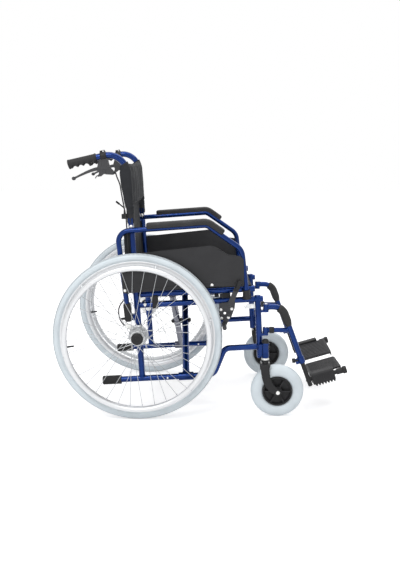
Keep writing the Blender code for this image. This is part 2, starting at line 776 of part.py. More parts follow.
def handrim():
    hub = at(0, WHEEL_R, HANDRIM_HALF)
    ring = turned(
        ring_profile(HANDRIM_R - HANDRIM_TUBE_R, HANDRIM_R + HANDRIM_TUBE_R, HANDRIM_TUBE_R, 6),
        hub,
        at(0, WHEEL_R, 1),
        steps=WHEEL_STEPS,
        closed=True,
    )
    stays = []
    face = WHEEL_HALF + RIM_WIDTH / 2 + FIT
    rim_r = WHEEL_R - TYRE_HEIGHT - 0.0055
    for k in range(HANDRIM_STAYS):
        angle = 2 * math.pi * (k + 0.25) / HANDRIM_STAYS
        c, s = math.cos(angle), math.sin(angle)
        path = [(rim_r, face), (rim_r, face + 0.011), (HANDRIM_R + 0.002, HANDRIM_HALF - 0.002)]
        points = [at(r * c, WHEEL_R + r * s, out) for r, out in path]
        stays.append(tube(points, 0.0040, sides=6))
    return fused(ring, joined(*stays))


# Casters.


def caster_place():
    return SWIVEL_X + CASTER_TRAIL, CASTER_R


def caster_tyre():
    x, z = caster_place()
    inner = CASTER_R - CASTER_TYRE_HEIGHT
    half = CASTER_WIDTH / 2
    side = [(CASTER_R, 0.30), (CASTER_R - 0.008, 0.80), (CASTER_R - 0.022, 1.0), (inner, 0.78)]
    profile = [(r, share * half) for r, share in side] + [(r, -share * half) for r, share in reversed(side)]
    return turned(profile, at(x, z, CASTER_HALF), at(x, z, 1), steps=CASTER_STEPS, closed=True)


def caster_hub():
    x, z = caster_place()
    outer = CASTER_R - CASTER_TYRE_HEIGHT - FIT
    centre = at(x, z, CASTER_HALF)
    ring = turned(
        [(outer, 0.017), (outer, -0.017), (outer - 0.006, -0.017), (outer - 0.006, 0.017)],
        centre,
        at(x, z, 1),
        steps=CASTER_STEPS,
        closed=True,
    )
    hub = pin(x, z, CASTER_HALF - 0.0225, CASTER_HALF + 0.0225, 0.016, sides=FINE)
    ribs = []
    for k in range(CASTER_SPOKES):
        turn = Matrix.Rotation(2 * math.pi * k / CASTER_SPOKES, 4, "Y")
        ribs.append(box((0.012, -0.012, -0.004), (outer - 0.003, 0.012, 0.004), turn, centre))
    hub = fused(hub, *ribs, ring)
    return cut(hub, pin_hole(x, z, CASTER_HALF - 0.03, CASTER_HALF + 0.03, 0.005 + FIT))


def caster_fork():
    """The fork, its stem with the ring under the bearing, and the bolt that carries the wheel."""
    x, z = caster_place()
    crown_top = HOUSING_FOOT_Z - 0.020
    gap = CASTER_WIDTH / 2 + 0.0035
    outline = [
        (SWIVEL_X - 0.017, crown_top),
        (SWIVEL_X + 0.017, crown_top),
        (SWIVEL_X + 0.026, crown_top - 0.035),
        (x + 0.0135, z + 0.012),
        (x + 0.0125, z - 0.0125),
        (x - 0.0125, z - 0.0125),
        (SWIVEL_X - 0.008, crown_top - 0.045),
    ]
    fork = plain_box(
        (SWIVEL_X - 0.017, SWIVEL_X + 0.017),
        (crown_top - 0.0055, crown_top),
        (CASTER_HALF - gap - 0.0025, CASTER_HALF + gap + 0.0025),
    )
    pieces = []
    for inner in (CASTER_HALF + gap, CASTER_HALF - gap - 0.005):
        pieces.append(plate(outline, inner, inner + 0.005, (0, 0, 0.04, 0.008, 0.0115, 0.0115, 0.03)))
    pieces += [
        post(SWIVEL_X, CASTER_HALF, crown_top - 0.003, HOUSING_TOP_Z - 0.008, STEM_R, sides=FINE),
        post(SWIVEL_X, CASTER_HALF, crown_top - 0.001, HOUSING_FOOT_Z - RUNNING, 0.0135, sides=FINE),
        pin(x, z, CASTER_HALF - gap - 0.002, CASTER_HALF + gap + 0.002, 0.005),
        pin(x, z, CASTER_HALF - gap - 0.009, CASTER_HALF - gap - 0.004, 0.0085, sides=6),
        pin(x, z, CASTER_HALF + gap + 0.004, CASTER_HALF + gap + 0.009, 0.0085, sides=12),
    ]
    return fused(fork, *pieces)


# Legrests.


def hanger_path():
    knee = at(LEG_KNEE_X, UPPER_EYE_Z, FRAME_HALF)
    drop = UPPER_EYE_Z - HANGER_END_Z
    end = at(LEG_KNEE_X + drop * math.tan(LEG_SLANT), HANGER_END_Z, FRAME_HALF)
    start = at(LEG_PIVOT_X + EYE_R * 0.5, UPPER_EYE_Z, FRAME_HALF)
    return rounded([start, knee, end], (0, HANGER_BEND_R, 0))


def leg_line(z, out=FRAME_HALF):
    """The point of the leg's slanted line at that height."""
    return at(LEG_KNEE_X + (UPPER_EYE_Z - z) * math.tan(LEG_SLANT), z, out)


def clipped(path, start, end):
    """The stretch of a path between two distances along it."""
    walked = 0.0
    stretch = []
    for first, second in zip(path, path[1:]):
        length = (second - first).length
        for mark in (start, end):
            if walked <= mark < walked + length:
                stretch.append(first.lerp(second, (mark - walked) / length))
        if start < walked + length < end:
            stretch.append(second)
        walked += length
    return stretch


def hanger():
    """The upper legrest tube with its two eyes, the strut, and the clamp with its knob."""
    half = EYE_HEIGHT / 2
    strut_end = leg_line(LOWER_EYE_Z)
    strut_start = at(LEG_PIVOT_X + EYE_R * 0.5, LOWER_EYE_Z, FRAME_HALF)
    clamp = leg_line(HANGER_END_Z + 0.010)
    down = (leg_line(0) - leg_line(1)).normalized()
    body = fused(
        tube(hanger_path(), HANGER_R),
        post(LEG_PIVOT_X, FRAME_HALF, UPPER_EYE_Z - half, UPPER_EYE_Z + half, EYE_R, sides=FINE),
        post(LEG_PIVOT_X, FRAME_HALF, LOWER_EYE_Z - half, LOWER_EYE_Z + half, EYE_R, sides=FINE),
        rod(strut_start, strut_end, 0.009),
        rod(along(strut_start, strut_end, 0.008), along(strut_start, strut_end, 0.026), 0.0122),
        rod(clamp + down * -0.014, clamp + down * 0.012, HANGER_R + 0.0022, sides=FINE),
        rod(clamp, clamp + Vector((-0.024, 0, -0.003)), 0.0062),
        rod(clamp + Vector((-0.023, 0, -0.003)), clamp + Vector((-0.034, 0, -0.0045)), 0.0085),
    )
    bore_top = leg_line(HANGER_END_Z) - down * (FOOT_TUBE_INSIDE + FOOT_TRAVEL + 0.004)
    foot_bore = hole(bore_top, leg_line(HANGER_END_Z - 0.02), FOOT_TUBE_R + FIT)
    pin_foot = at(LEG_PIVOT_X, LOWER_EYE_Z - 0.02, FRAME_HALF)
    pin_bore = hole(pin_foot, at(LEG_PIVOT_X, UPPER_EYE_Z + 0.02, FRAME_HALF), LEG_PIN_R + FIT)
    return cut(body, foot_bore, pin_bore)


def calf_pad():
    """The foam sleeve on the bend of the hanger."""
    start, end = CALF_PAD
    pad = tube(clipped(hanger_path(), start, end), CALF_PAD_R)
    return cut(pad, tube(clipped(hanger_path(), start - 0.01, end + 0.01), HANGER_R + FIT))


def plate_place():
    """The frame of the footplate's hinge: x along the hinge, y towards the chair's middle, z up."""
    corner = leg_line(PLATE_PIVOT_Z, PLATE_HINGE_HALF)
    return Matrix.Translation(corner) @ Matrix.Rotation(-PLATE_TILT, 4, "Y")


def hinge_point(s):
    return plate_place() @ Vector((s, 0, 0))


def foot_tube():
    """The lower legrest tube with the stub that the footplate turns on and the knob at its end."""
    down = (leg_line(0) - leg_line(1)).normalized()
    top = leg_line(HANGER_END_Z) - down * FOOT_TUBE_INSIDE
    end = leg_line(FOOT_TUBE_END_Z)
    knob_length = 0.038
    tip = (AXLE_X + FOOT_REACH - hinge_point(0).x) / math.cos(PLATE_TILT) - 0.014 * math.tan(PLATE_TILT)
    reach = hinge_point(tip)
    step = (FRAME_HALF - PLATE_HINGE_HALF) + FOOT_TUBE_R
    return fused(
        rod(top, end, FOOT_TUBE_R),
        rod(leg_line(PLATE_PIVOT_Z), leg_line(PLATE_PIVOT_Z, FRAME_HALF - step), FOOT_TUBE_R),
        rod(hinge_point(-0.001), reach - (reach - hinge_point(0)).normalized() * 0.004, 0.0083),
        rod(hinge_point(tip - knob_length), hinge_point(tip - 0.012), 0.011),
        rod(hinge_point(tip - 0.014), reach, 0.014),
    )


def footplate():
    """The tray with its heel wall and the ribbed housing that turns on the foot tube's stub."""
    place = plate_place()
    lean = Matrix.Rotation(-PLATE_LEAN, 4, "X")
    near = PLATE_OUTER
    far = PLATE_HINGE_HALF - PLATE_INNER
    under = PLATE_RISE - PLATE_T
    tray = box((PLATE_REAR, near, under), (PLATE_FRONT, far, PLATE_RISE), lean)
    back, front = PLATE_REAR, PLATE_FRONT
    lips = [
        box((back + 0.0005, near, under - 0.008), (back + 0.006, far - 0.001, under + 0.001), lean),
        box((back + 0.0010, near + 0.001, -0.022), (back + 0.0052, near + 0.075, under + 0.002), lean),
        box((front - 0.006, near, under - 0.008), (front - 0.0005, far - 0.001, under + 0.001), lean),
    ]
    housing = box((back + 0.0025, -HOUSING_HALF, -HOUSING_RISE), (HOUSING_END, HOUSING_HALF, HOUSING_RISE))
    plate_solid = fused(tray, *lips, housing, teeth())
    bore = hole(Vector((-0.02, 0, 0)), Vector((0.15, 0, 0)), FOOT_TUBE_R + FIT)
    result = cut(plate_solid, bore)
    result.matrix_world = place
    return applied(result)


def teeth():
    """The zigzag of the detent ring under the outer edge of the housing."""
    count = 7
    start = PLATE_REAR + 0.008
    pitch = (HOUSING_END - start) / count
    profile = [(start, -HOUSING_RISE + 0.006), (HOUSING_END, -HOUSING_RISE + 0.006)]
    for k in range(count):
        profile.append((HOUSING_END - (k + 0.5) * pitch, -HOUSING_RISE - 0.006))
        profile.append((HOUSING_END - (k + 1) * pitch, -HOUSING_RISE - 0.001))
    bm = bmesh.new()
    verts = [bm.verts.new((s, -HOUSING_HALF + 0.0008, t)) for s, t in profile]
    face = bm.faces.new(verts)
    extruded = bmesh.ops.extrude_face_region(bm, geom=[face])
    moved = [item for item in extruded["geom"] if isinstance(item, bmesh.types.BMVert)]
    bmesh.ops.translate(bm, verts=moved, vec=(0, 0.008, 0))
    return helper_from(bm)


def legrest_latch():
    """The release lever on the front upright that frees the legrest."""
    x, z = LATCH_PIVOT
    inner = FRAME_HALF + 0.0045
    lever = plate(
        [(x - 0.028, z - 0.010), (x + 0.007, z - 0.007), (x + 0.007, z + 0.007), (x - 0.018, z + 0.009)],
        inner,
        inner + 0.0035,
        0.003,
    )
    tab = plain_box((x - 0.029, x - 0.024), (z - 0.010, z + 0.003), (inner, inner + 0.010))
    return cut(fused(lever, tab), pin_hole(x, z, inner - 0.01, inner + 0.02, 0.003 + FIT))


def latch_lug():
    """The ear on the front upright that the latch lever turns on. It belongs to the side frame."""
    x, z = LATCH_PIVOT
    ear_out = (FRAME_HALF - 0.004, FRAME_HALF + 0.0042)
    ear = plain_box((x - 0.008, x + 0.016), (z - 0.008, z + 0.007), ear_out)
    stud = pin(x, z, FRAME_HALF, FRAME_HALF + 0.0095, 0.003)
    head = pin(x, z, FRAME_HALF + 0.0084, FRAME_HALF + 0.0105, 0.0055)
    return fused(ear, stud, head)


# Armrests, side guards and parking brakes.


def armrest_points():
    corners = (ARM_PIVOT, ARM_REAR_TOP, ARM_FRONT_TOP, ARM_SHOULDER, ARM_FOOT)
    return [at(x, z, ARM_HALF) for x, z in corners]


def armrest_tube():
    arm = tube(armrest_points(), ARM_R, ARM_BENDS)
    eye = pin(*ARM_PIVOT, ARM_HALF - ARM_R, ARM_HALF + ARM_R, 0.0125, sides=FINE)
    return cut(fused(arm, eye), pin_hole(*ARM_PIVOT, ARM_HALF - 0.02, ARM_HALF + 0.02, 0.005 + FIT))


def arm_corner(offset, before, corner, after):
    """The corner of a line that runs beside the armrest tube, that far above its middle."""
    first = (Vector(corner) - Vector(before)).normalized()
    second = (Vector(after) - Vector(corner)).normalized()
    normals = [Vector((-d.y, d.x)) for d in (first, second)]
    return Vector(corner) + (normals[0] + normals[1]) * offset / (1 + normals[0].dot(normals[1]))


def arm_pad():
    """The armrest pad, which sits over the tube in a groove along its underside."""
    low = ARM_R * 0.35
    high = low + PAD_T
    rear = Vector(ARM_REAR_TOP).lerp(Vector(ARM_FRONT_TOP), PAD_START)
    front = Vector(ARM_FRONT_TOP).lerp(Vector(ARM_SHOULDER), PAD_STOP)
    top = [arm_corner(high, ARM_REAR_TOP, rear, ARM_FRONT_TOP)]
    top.append(arm_corner(high, ARM_REAR_TOP, ARM_FRONT_TOP, ARM_SHOULDER))
    top.append(arm_corner(high, ARM_FRONT_TOP, front, ARM_SHOULDER))
    bottom = [arm_corner(low, ARM_FRONT_TOP, front, ARM_SHOULDER)]
    bottom.append(arm_corner(low, ARM_REAR_TOP, ARM_FRONT_TOP, ARM_SHOULDER))
    bottom.append(arm_corner(low, ARM_REAR_TOP, rear, ARM_FRONT_TOP))
    outline = [(p.x, p.y) for p in top + bottom]
    pad = plate(outline, PAD_INNER, PAD_OUTER, (0.007, 0.03, 0.009, 0.002, 0.01, 0.002))
    return cut(pad, tube(armrest_points(), ARM_R + FIT, ARM_BENDS))


def side_guard():
    """The clothes guard, a plastic sheet bolted to the outer side of the armrest."""
    outline = [
        (-0.052, WHEEL_R + 0.157),
        (-0.062, WHEEL_R + 0.295),
        (0.270, WHEEL_R + 0.331),
        (WHEEL_R + 0.019, WHEEL_R + 0.297),
        (WHEEL_R + 0.062, WHEEL_R + 0.293),
        (WHEEL_R + 0.075, WHEEL_R + 0.280),
        (WHEEL_R + 0.077, WHEEL_R + 0.184),
        (0.267, WHEEL_R + 0.183),
    ]
    radii = (0.006, 0.030, 0.050, 0.03, 0.01, 0.006, 0.006, 0.04)
    outside = GUARD_INNER + GUARD_T
    guard = plate(outline, GUARD_INNER, outside, radii)
    spots = ((-0.0455, WHEEL_R + 0.166), (0.267, WHEEL_R + 0.1885))
    bolts = [pin(x, z, outside - 0.001, outside + 0.0018, 0.005) for x, z in spots]
    return fused(guard, *bolts)


def armrest_socket():
    """The cup on the top rail that the front foot of the armrest drops into."""
    x, z = ARM_FOOT
    block_out = (FRAME_HALF + TUBE_R + FIT, ARM_HALF + 0.0125)
    block = plain_box((x - 0.0175, x + 0.0175), (z - 0.009, z + 0.026), block_out)
    foot = at(x, z, ARM_HALF)
    up = (at(*ARM_SHOULDER, ARM_HALF) - foot).normalized()
    return cut(block, rod(foot - up * 0.0035, foot + up * 0.040, ARM_R + 0.0007, ARM_R + 0.0035, sides=FINE))


def brake_plate():
    """The parking brake's mounting plate on the top rail, with the pins of its lever and its shoe."""
    inner = FRAME_HALF + TUBE_R + FIT
    outer = inner + 0.004
    upper = ((-0.006, 0.077), (-0.008, 0.128), (0.052, 0.132))
    lower = ((0.047, 0.099), (0.033, 0.067), (0.001, 0.061))
    outline = [(WHEEL_R + ahead, WHEEL_R + rise) for ahead, rise in upper + lower]
    mount = plate(outline, inner, outer, 0.005)
    lever_x, lever_z = BRAKE_LEVER_PIVOT
    shoe_x, shoe_z = BRAKE_SHOE_PIVOT
    pieces = [
        pin(lever_x, lever_z, outer - 0.001, BRAKE_LEVER_INNER - FIT, 0.0075),
        pin(lever_x, lever_z, outer, BRAKE_LEVER_INNER + 0.0050, 0.004),
        pin(lever_x, lever_z, BRAKE_LEVER_INNER + 0.0033, BRAKE_LEVER_INNER + 0.0055, 0.0065),
        pin(shoe_x, shoe_z, outer - 0.001, outer + 0.0060, 0.0035),
        pin(shoe_x, shoe_z, outer + 0.0050, outer + 0.0070, 0.0065),
    ]
    for ahead, rise in ((0.001, 0.118), (0.045, 0.121)):
        pieces.append(pin(WHEEL_R + ahead, WHEEL_R + rise, outer - 0.001, outer + 0.0015, 0.0045))
    return fused(mount, *pieces)


def brake_lever():
    x, z = BRAKE_LEVER_PIVOT
    inner = BRAKE_LEVER_INNER
    base = Vector((x, z))
    tip = base + Vector((0.030, 0.078))
    way = (tip - base).normalized()
    side = Vector((way.y, -way.x)) * BRAKE_LEVER_HALF
    corners = [base + side - way * 0.009, base - side - way * 0.009, tip - side * 0.95, tip + side * 0.95]
    strap = plate([(p.x, p.y) for p in corners], inner, inner + 0.003, (0.006, 0.006, 0.005, 0.005))
    grip_out = inner + 0.0070
    grip = rod(at(*(tip - way * 0.030), grip_out), at(*(tip + way * 0.010), grip_out), 0.0075, 0.0068)
    return cut(fused(strap, grip), pin_hole(x, z, inner - 0.01, inner + 0.02, 0.004 + FIT))


def brake_shoe():
    """The arm and the roller that press on the tyre."""
    x, z = BRAKE_SHOE_PIVOT
    inner = FRAME_HALF + TUBE_R + 2 * FIT + 0.004
    angle = BRAKE_ROLLER_ANGLE
    reach = WHEEL_R + BRAKE_GAP + BRAKE_ROLLER_R
    roller_x, roller_z = reach * math.cos(angle), WHEEL_R + reach * math.sin(angle)
    base, end = Vector((x, z)), Vector((roller_x, roller_z))
    way = (end - base).normalized()
    side = Vector((way.y, -way.x)) * 0.0075
    low = base - way * 0.008
    high = end + way * 0.007
    corners = [low + side, low - side, high - side, high + side]
    arm = plate([(p.x, p.y) for p in corners], inner, inner + 0.004, 0.004)
    roller = pin(roller_x, roller_z, inner + 0.003, WHEEL_HALF + TYRE_WIDTH / 2 + 0.004, BRAKE_ROLLER_R)
    return cut(fused(arm, roller), pin_hole(x, z, inner - 0.01, inner + 0.02, 0.0035 + FIT))


# Back canes, push handles, hand brakes and the back upholstery.


def handle_path(start_w):
    corner = frame_at(0, HANDLE_CORNER_W)
    end = at(-HANDLE_REACH, 0, FRAME_HALF)
    end.z = corner.z - (corner.x - end.x) * math.tan(HANDLE_SLOPE)
    return [frame_at(0, start_w), corner, end]


def handle_point(x, drop=0.0):
    """The point of the push handle's middle line at x, or that far below it."""
    corner = frame_at(0, HANDLE_CORNER_W)
    point = at(x, 0, FRAME_HALF)
    point.z = corner.z - (corner.x - point.x) * math.tan(HANDLE_SLOPE) - drop
    return point


def cane_path():
    """The middle line of the upper cane, through its bend to the end of the push handle."""
    return rounded(handle_path(BACK_HINGE_W + 0.016), (0, HANDLE_BEND_R, 0), turn=math.radians(28))


def upper_cane():
    """The folding upper cane with its hinge cheeks, hinge pin, push handle and release bracket."""
    cane = tube(cane_path(), CANE_R)
    cheeks = []
    for inner in (FRAME_HALF + 0.006 + FIT, FRAME_HALF - 0.013):
        outline = [
            (-0.0085, BACK_HINGE_W - 0.0085),
            (0.0085, BACK_HINGE_W - 0.0085),
            (0.0085, BACK_HINGE_W + 0.030),
            (-0.0085, BACK_HINGE_W + 0.030),
        ]
        cheeks.append(plate(outline, inner, inner + 0.0067, (0.008, 0.008, 0, 0), place=frame_at))
    hinge = frame_at(0, BACK_HINGE_W)
    reach = Vector((0, 0.0155, 0))
    head = Vector((0, 0.0125, 0))
    x, z = RELEASE_PIVOT
    bracket_out = (FRAME_HALF - 0.0040, FRAME_HALF + 0.0035)
    bracket = plain_box((x - 0.008, x + 0.018), (z - 0.009, z + 0.009), bracket_out)
    stud = pin(x, z, FRAME_HALF - 0.0115, FRAME_HALF, 0.003)
    stud_head = pin(x, z, FRAME_HALF - 0.0122, FRAME_HALF - 0.0102, 0.0055)
    return fused(
        cane,
        *cheeks,
        rod(hinge - reach, hinge + reach, 0.0042),
        rod(hinge + head, hinge + reach, 0.0068),
        rod(hinge - head, hinge - reach, 0.0068),
        bracket,
        stud,
        stud_head,
    )


def grip():
    """The rubber grip, closed at the rear, with finger ridges below."""
    front = handle_point(-HANDLE_REACH + GRIP_LENGTH - 0.003)
    back = handle_point(-HANDLE_REACH - 0.0035)
    way = (back - front).normalized()
    body = rod(front, back, GRIP_R, sides=FINE)
    collar = rod(front, front + way * 0.006, GRIP_R + 0.001, sides=FINE)
    below = Vector((0, 0, -GRIP_RIDGE_DROP))
    starts = [front + way * (0.007 + GRIP_RIDGE_PITCH * k) + below for k in range(5)]
    ridges = [rod(start, start + way * 0.0075, GRIP_R - 0.003) for start in starts]
    bore = hole(front - way * 0.01, handle_point(-HANDLE_REACH) + way * FIT, CANE_R + FIT)
    return cut(fused(body, collar, *ridges), bore)


def lever_clamp():
    """Where the hand brake's clamp starts and ends along the cane: behind its bend."""
    bend = math.pi / 2 + HANDLE_SLOPE - RAKE
    straight = HANDLE_CORNER_W - HANDLE_BEND_R * math.tan(bend / 2) - BACK_HINGE_W - 0.016
    end = straight + HANDLE_BEND_R * bend + CLAMP_BEHIND_BEND
    return end - CLAMP_LENGTH, end


def lever_body():
    """The hand brake's clamp and body, with the cheeks that its lever swings between."""
    x, z = LEVER_PIVOT
    block_out = (FRAME_HALF - 0.012, FRAME_HALF + 0.012)
    block = plain_box((x - 0.015, x + 0.008), (z + 0.0148, z + 0.040), block_out)
    nose_out = (FRAME_HALF - 0.010, FRAME_HALF + 0.010)
    nose = plain_box((x + 0.004, x + 0.030), (z + 0.0075, z + 0.028), nose_out)
    cheeks = [
        plain_box((x - 0.015, x + 0.012), (z - 0.008, z + 0.016), (inner, inner + 0.004))
        for inner in (FRAME_HALF + 0.0045, FRAME_HALF - 0.0085)
    ]
    end_out = (FRAME_HALF - 0.006, FRAME_HALF + 0.006)
    cable_end = plain_box((x + 0.018, x + 0.030), (z - 0.010, z + 0.010), end_out)
    body = fused(
        tube(clipped(cane_path(), *lever_clamp()), 0.0152, sides=FINE),
        block,
        nose,
        *cheeks,
        cable_end,
        pin(x, z, FRAME_HALF - 0.0095, FRAME_HALF + 0.0095, 0.003),
    )
    return cut(body, tube(cane_path(), (CANE_R + FIT) / math.cos(math.pi / ROUND)))


def hand_lever():
    x, z = LEVER_PIVOT
    tip = at(*LEVER_TIP, FRAME_HALF)
    route = [(x - 0.002, z), (x - 0.030, z + 0.010), (x - 0.060, z - 0.001)]
    points = [at(*spot, FRAME_HALF) for spot in route] + [tip]
    arm = tube(points, 0.0038, (0, 0.03, 0.05, 0), sides=8)
    eye = pin(x, z, FRAME_HALF - 0.0042, FRAME_HALF + 0.0042, 0.0062, sides=14)
    knob = rod(along(tip, points[-2], 0.005), along(tip, points[-2], -0.006), 0.0065, 0.0045, sides=10)
    return cut(fused(arm, eye, knob), pin_hole(x, z, FRAME_HALF - 0.02, FRAME_HALF + 0.02, 0.003 + FIT))


def brake_cable():
    """The cable from the hand brake, down behind the cane, to the anchor plate of the drum."""
    x, z = LEVER_PIVOT
    beside = ((0.430, 0.0125), (0.372, 0.0148), (0.300, 0.0148), (0.225, 0.0144), (0.175, 0.0126))
    behind = [frame_at(-0.0150, w, FRAME_HALF + out) for w, out in beside]
    past_sleeve = ((-0.0290, 0.545), (-0.0262, 0.515), (-0.0228, 0.485))
    sleeve = [frame_at(u, w, FRAME_HALF + 0.002) for u, w in past_sleeve]
    route = [
        at(x + 0.0306, z - 0.004, FRAME_HALF),
        at(x + 0.0370, z - 0.0045, FRAME_HALF),
        at(-0.0695, CORNER_Z - 0.092, FRAME_HALF + 0.002),
        *sleeve,
        frame_at(-0.0190, 0.458, FRAME_HALF + 0.0070),
        *behind,
        at(-0.048, WHEEL_R + 0.135, FRAME_HALF + 0.0130),
        at(-0.070, WHEEL_R + 0.100, FRAME_HALF + 0.0140),
        at(-0.069, WHEEL_R + 0.061, FRAME_HALF + 0.0145),
        at(-0.0550, WHEEL_R + 0.0365, FRAME_HALF + 0.0145),
        at(-0.0484, WHEEL_R + 0.036, FRAME_HALF + 0.0145),
    ]
    return tube(smooth(route, 2), CABLE_R, sides=6)


def smooth(route, steps):
    """A Catmull-Rom curve through the route's points."""
    ends = [2 * route[0] - route[1], *route, 2 * route[-1] - route[-2]]
    path = []
    for a, b, c, d in zip(ends, ends[1:], ends[2:], ends[3:]):
        for k in range(steps):
            t = k / steps
            bend = (2 * a - 5 * b + 4 * c - d) * t**2
            twist = (3 * b - a - 3 * c + d) * t**3
            path.append(0.5 * (2 * b + (c - a) * t + bend + twist))
    return [*path, route[-1]]


def back_release():
    """The bent rod behind the hinge that lets the back fold."""
    x, z = RELEASE_PIVOT
    out = FRAME_HALF - 0.0070
    elbow = at(x + 0.002, z + 0.029, out)
    arm = tube([at(x, z, out), elbow, at(x - 0.024, z + 0.050, out)], 0.0026, (0, 0.012, 0), sides=8)
    eye = pin(x, z, out - 0.0018, out + 0.0018, 0.0065)
    knob = rod(at(x - 0.016, z + 0.0435, out), at(x - 0.028, z + 0.053, out), 0.0045, sides=10)
    return cut(fused(arm, eye, knob), pin_hole(x, z, out - 0.02, out + 0.02, 0.003 + FIT))


def w_of(z):
    """The distance up the cane of a height above the floor."""
    return (z - WHEEL_R) / math.cos(RAKE)


def lower_back():
    """The lower back sling: a sleeve behind each lower cane, and a panel with a flap above the sleeves."""
    low, high = (w_of(z) for z in LOWER_BACK)
    back = -SLEEVE_BEHIND
    reach = FRAME_HALF - 0.006
    panel = frame_box((back + 0.0025, back + 0.0105), (low + 0.001, high - 0.001), (-reach, reach))
    inner = FRAME_HALF - 0.018
    flap = frame_box((back + 0.003, back + 0.010), (high - 0.004, w_of(LOWER_BACK_TOP)), (-inner, inner))
    sides = (FRAME_HALF - 0.002, 0.002 - FRAME_HALF)
    sleeve_r = CANE_R + SLEEVE_T
    sleeves = [rod(frame_at(back, low, side), frame_at(back, high, side), sleeve_r) for side in sides]
    sides = (FRAME_HALF, -FRAME_HALF)
    ends = [(frame_at(0, low - 0.01, side), frame_at(0, high + 0.01, side)) for side in sides]
    bores = [hole(start, end, CANE_R + FIT) for start, end in ends]
    return cut(fused(panel, flap, *sleeves), *bores)


def upper_back():
    """The upper back sling: a padded panel between sleeves that hang loose behind the canes."""
    low, high = (w_of(z) for z in UPPER_BACK)
    slack = [(0, low), (-0.0150, low), (-0.0245, low + 0.067), (-0.0280, high - 0.032)]
    slack += [(-0.0310, high - 0.004), (-0.006, high + 0.001), (0, high - 0.060)]
    start = low - BACK_HINGE_W - 0.016
    bore_r = CANE_R + FIT
    sleeve_r = bore_r + SLEEVE_T
    inner = FRAME_HALF - 0.004
    pieces = []
    bores = []
    for mirror in (1, -1):
        scale = Vector((1, mirror, 1))
        path = [point * scale for point in cane_path()]
        pieces.append(tube(clipped(path, start, start + high - low + 0.0035), sleeve_r))
        middle = mirror * FRAME_HALF
        pieces.append(plate(slack, middle - 0.0122, middle + 0.0122, place=frame_at))
        bores.append(tube(path, bore_r))
    panel = frame_box((-0.010, 0.0150), (low + 0.001, high), (-inner, inner))
    return cut(fused(panel, *pieces), *bores)


# The whole chair.

SIDE_PARTS = {
    "side_frame": (side_frame, "blue_paint", "frame"),
    "tip_plug": (tip_plug, "black_plastic", "frame"),
    "rear_axle": (rear_axle, "black_plastic", "frame"),
    "brake_plate": (brake_plate, "black_steel", "frame"),
    "armrest_socket": (armrest_socket, "black_plastic", "frame"),
    "rear_tyre": (rear_tyre, "grey_tyre", "wheel"),
    "rear_wheel": (rear_wheel, "silver_alloy", "wheel"),
    "handrim": (handrim, "silver_alloy", "wheel"),
    "caster_fork": (caster_fork, "black_plastic", "swivel"),
    "caster_tyre": (caster_tyre, "grey_tyre", "caster"),
    "caster_hub": (caster_hub, "black_plastic", "caster"),
    "hanger": (hanger, "blue_paint", "leg"),
    "calf_pad": (calf_pad, "black_foam", "leg"),
    "foot_tube": (foot_tube, "black_plastic", "foot"),
    "footplate": (footplate, "dark_panel", "plate"),
    "legrest_latch": (legrest_latch, "chrome", "latch"),
    "armrest_tube": (armrest_tube, "blue_paint", "arm"),
    "arm_pad": (arm_pad, "black_foam", "arm"),
    "side_guard": (side_guard, "dark_panel", "arm"),
    "brake_lever": (brake_lever, "black_steel", "lever"),
    "brake_shoe": (brake_shoe, "black_steel", "shoe"),
    "upper_cane": (upper_cane, "blue_paint", "back"),
    "grip": (grip, "black_plastic", "back"),
    "lever_body": (lever_body, "black_plastic", "back"),
    "brake_cable": (brake_cable, "black_plastic", "back"),
    "hand_lever": (hand_lever, "black_plastic", "squeeze"),
    "back_release": (back_release, "black_plastic", "release"),
}


def side_pivots():
    """Where each moving body of the right side turns, and where its fixed body starts."""
    return {
        "frame": at(0, WHEEL_R, FRAME_HALF),
        "wheel": at(0, WHEEL_R, WHEEL_HALF),
        "swivel": at(SWIVEL_X, HOUSING_FOOT_Z, CASTER_HALF),
        "caster": at(*caster_place(), CASTER_HALF),
        "leg": at(LEG_PIVOT_X, UPPER_EYE_Z, FRAME_HALF),
        "foot": leg_line(HANGER_END_Z),
        "plate": hinge_point(0),
        "latch": at(*LATCH_PIVOT, FRAME_HALF),
        "arm": at(*ARM_PIVOT, ARM_HALF),
        "lever": at(*BRAKE_LEVER_PIVOT, BRAKE_LEVER_INNER),
        "shoe": at(*BRAKE_SHOE_PIVOT, BRAKE_LEVER_INNER),
        "back": frame_at(0, BACK_HINGE_W),
        "squeeze": at(*LEVER_PIVOT, FRAME_HALF),
        "release": at(*RELEASE_PIVOT, FRAME_HALF),
    }


def main():
    places = side_pivots()
    mirror = Vector((1, -1, 1))
    right = {name: pivot(f"right_{name}_pivot", place) for name, place in places.items()}
    left = {name: pivot(f"left_{name}_pivot", place * mirror) for name, place in places.items()}
    for name, (build, material, body) in SIDE_PARTS.items():
        solid = build()
        twin = mirrored(solid)
        finish(solid, f"right_{name}", material, right[body])
        finish(twin, f"left_{name}", material, left[body])
    foot_right = pivot("cross_bar_a_pivot", frame_at(BAR_A_U, LOWER_RAIL_W))
    foot_left = pivot("cross_bar_b_pivot", frame_at(BAR_B_U, LOWER_RAIL_W, -FRAME_HALF))
    finish(cross_bar(BAR_A_U, FRAME_HALF, -FRAME_HALF), "cross_bar_a", "blue_paint", foot_right)
    finish(cross_bar(BAR_B_U, -FRAME_HALF, FRAME_HALF), "cross_bar_b", "grey_paint", foot_left)
    finish(cross_pivot(), "cross_pivot", "black_plastic", foot_right)
    seat = pivot("seat_pivot", frame_at(BAR_B_U, SEAT_RAIL_W))
    finish(seat_sling(), "seat_sling", "black_fabric", seat)
    finish(upper_back(), "upper_back_upholstery", "black_fabric", right["back"])
    finish(lower_back(), "lower_back_upholstery", "black_fabric", right["frame"])


main()
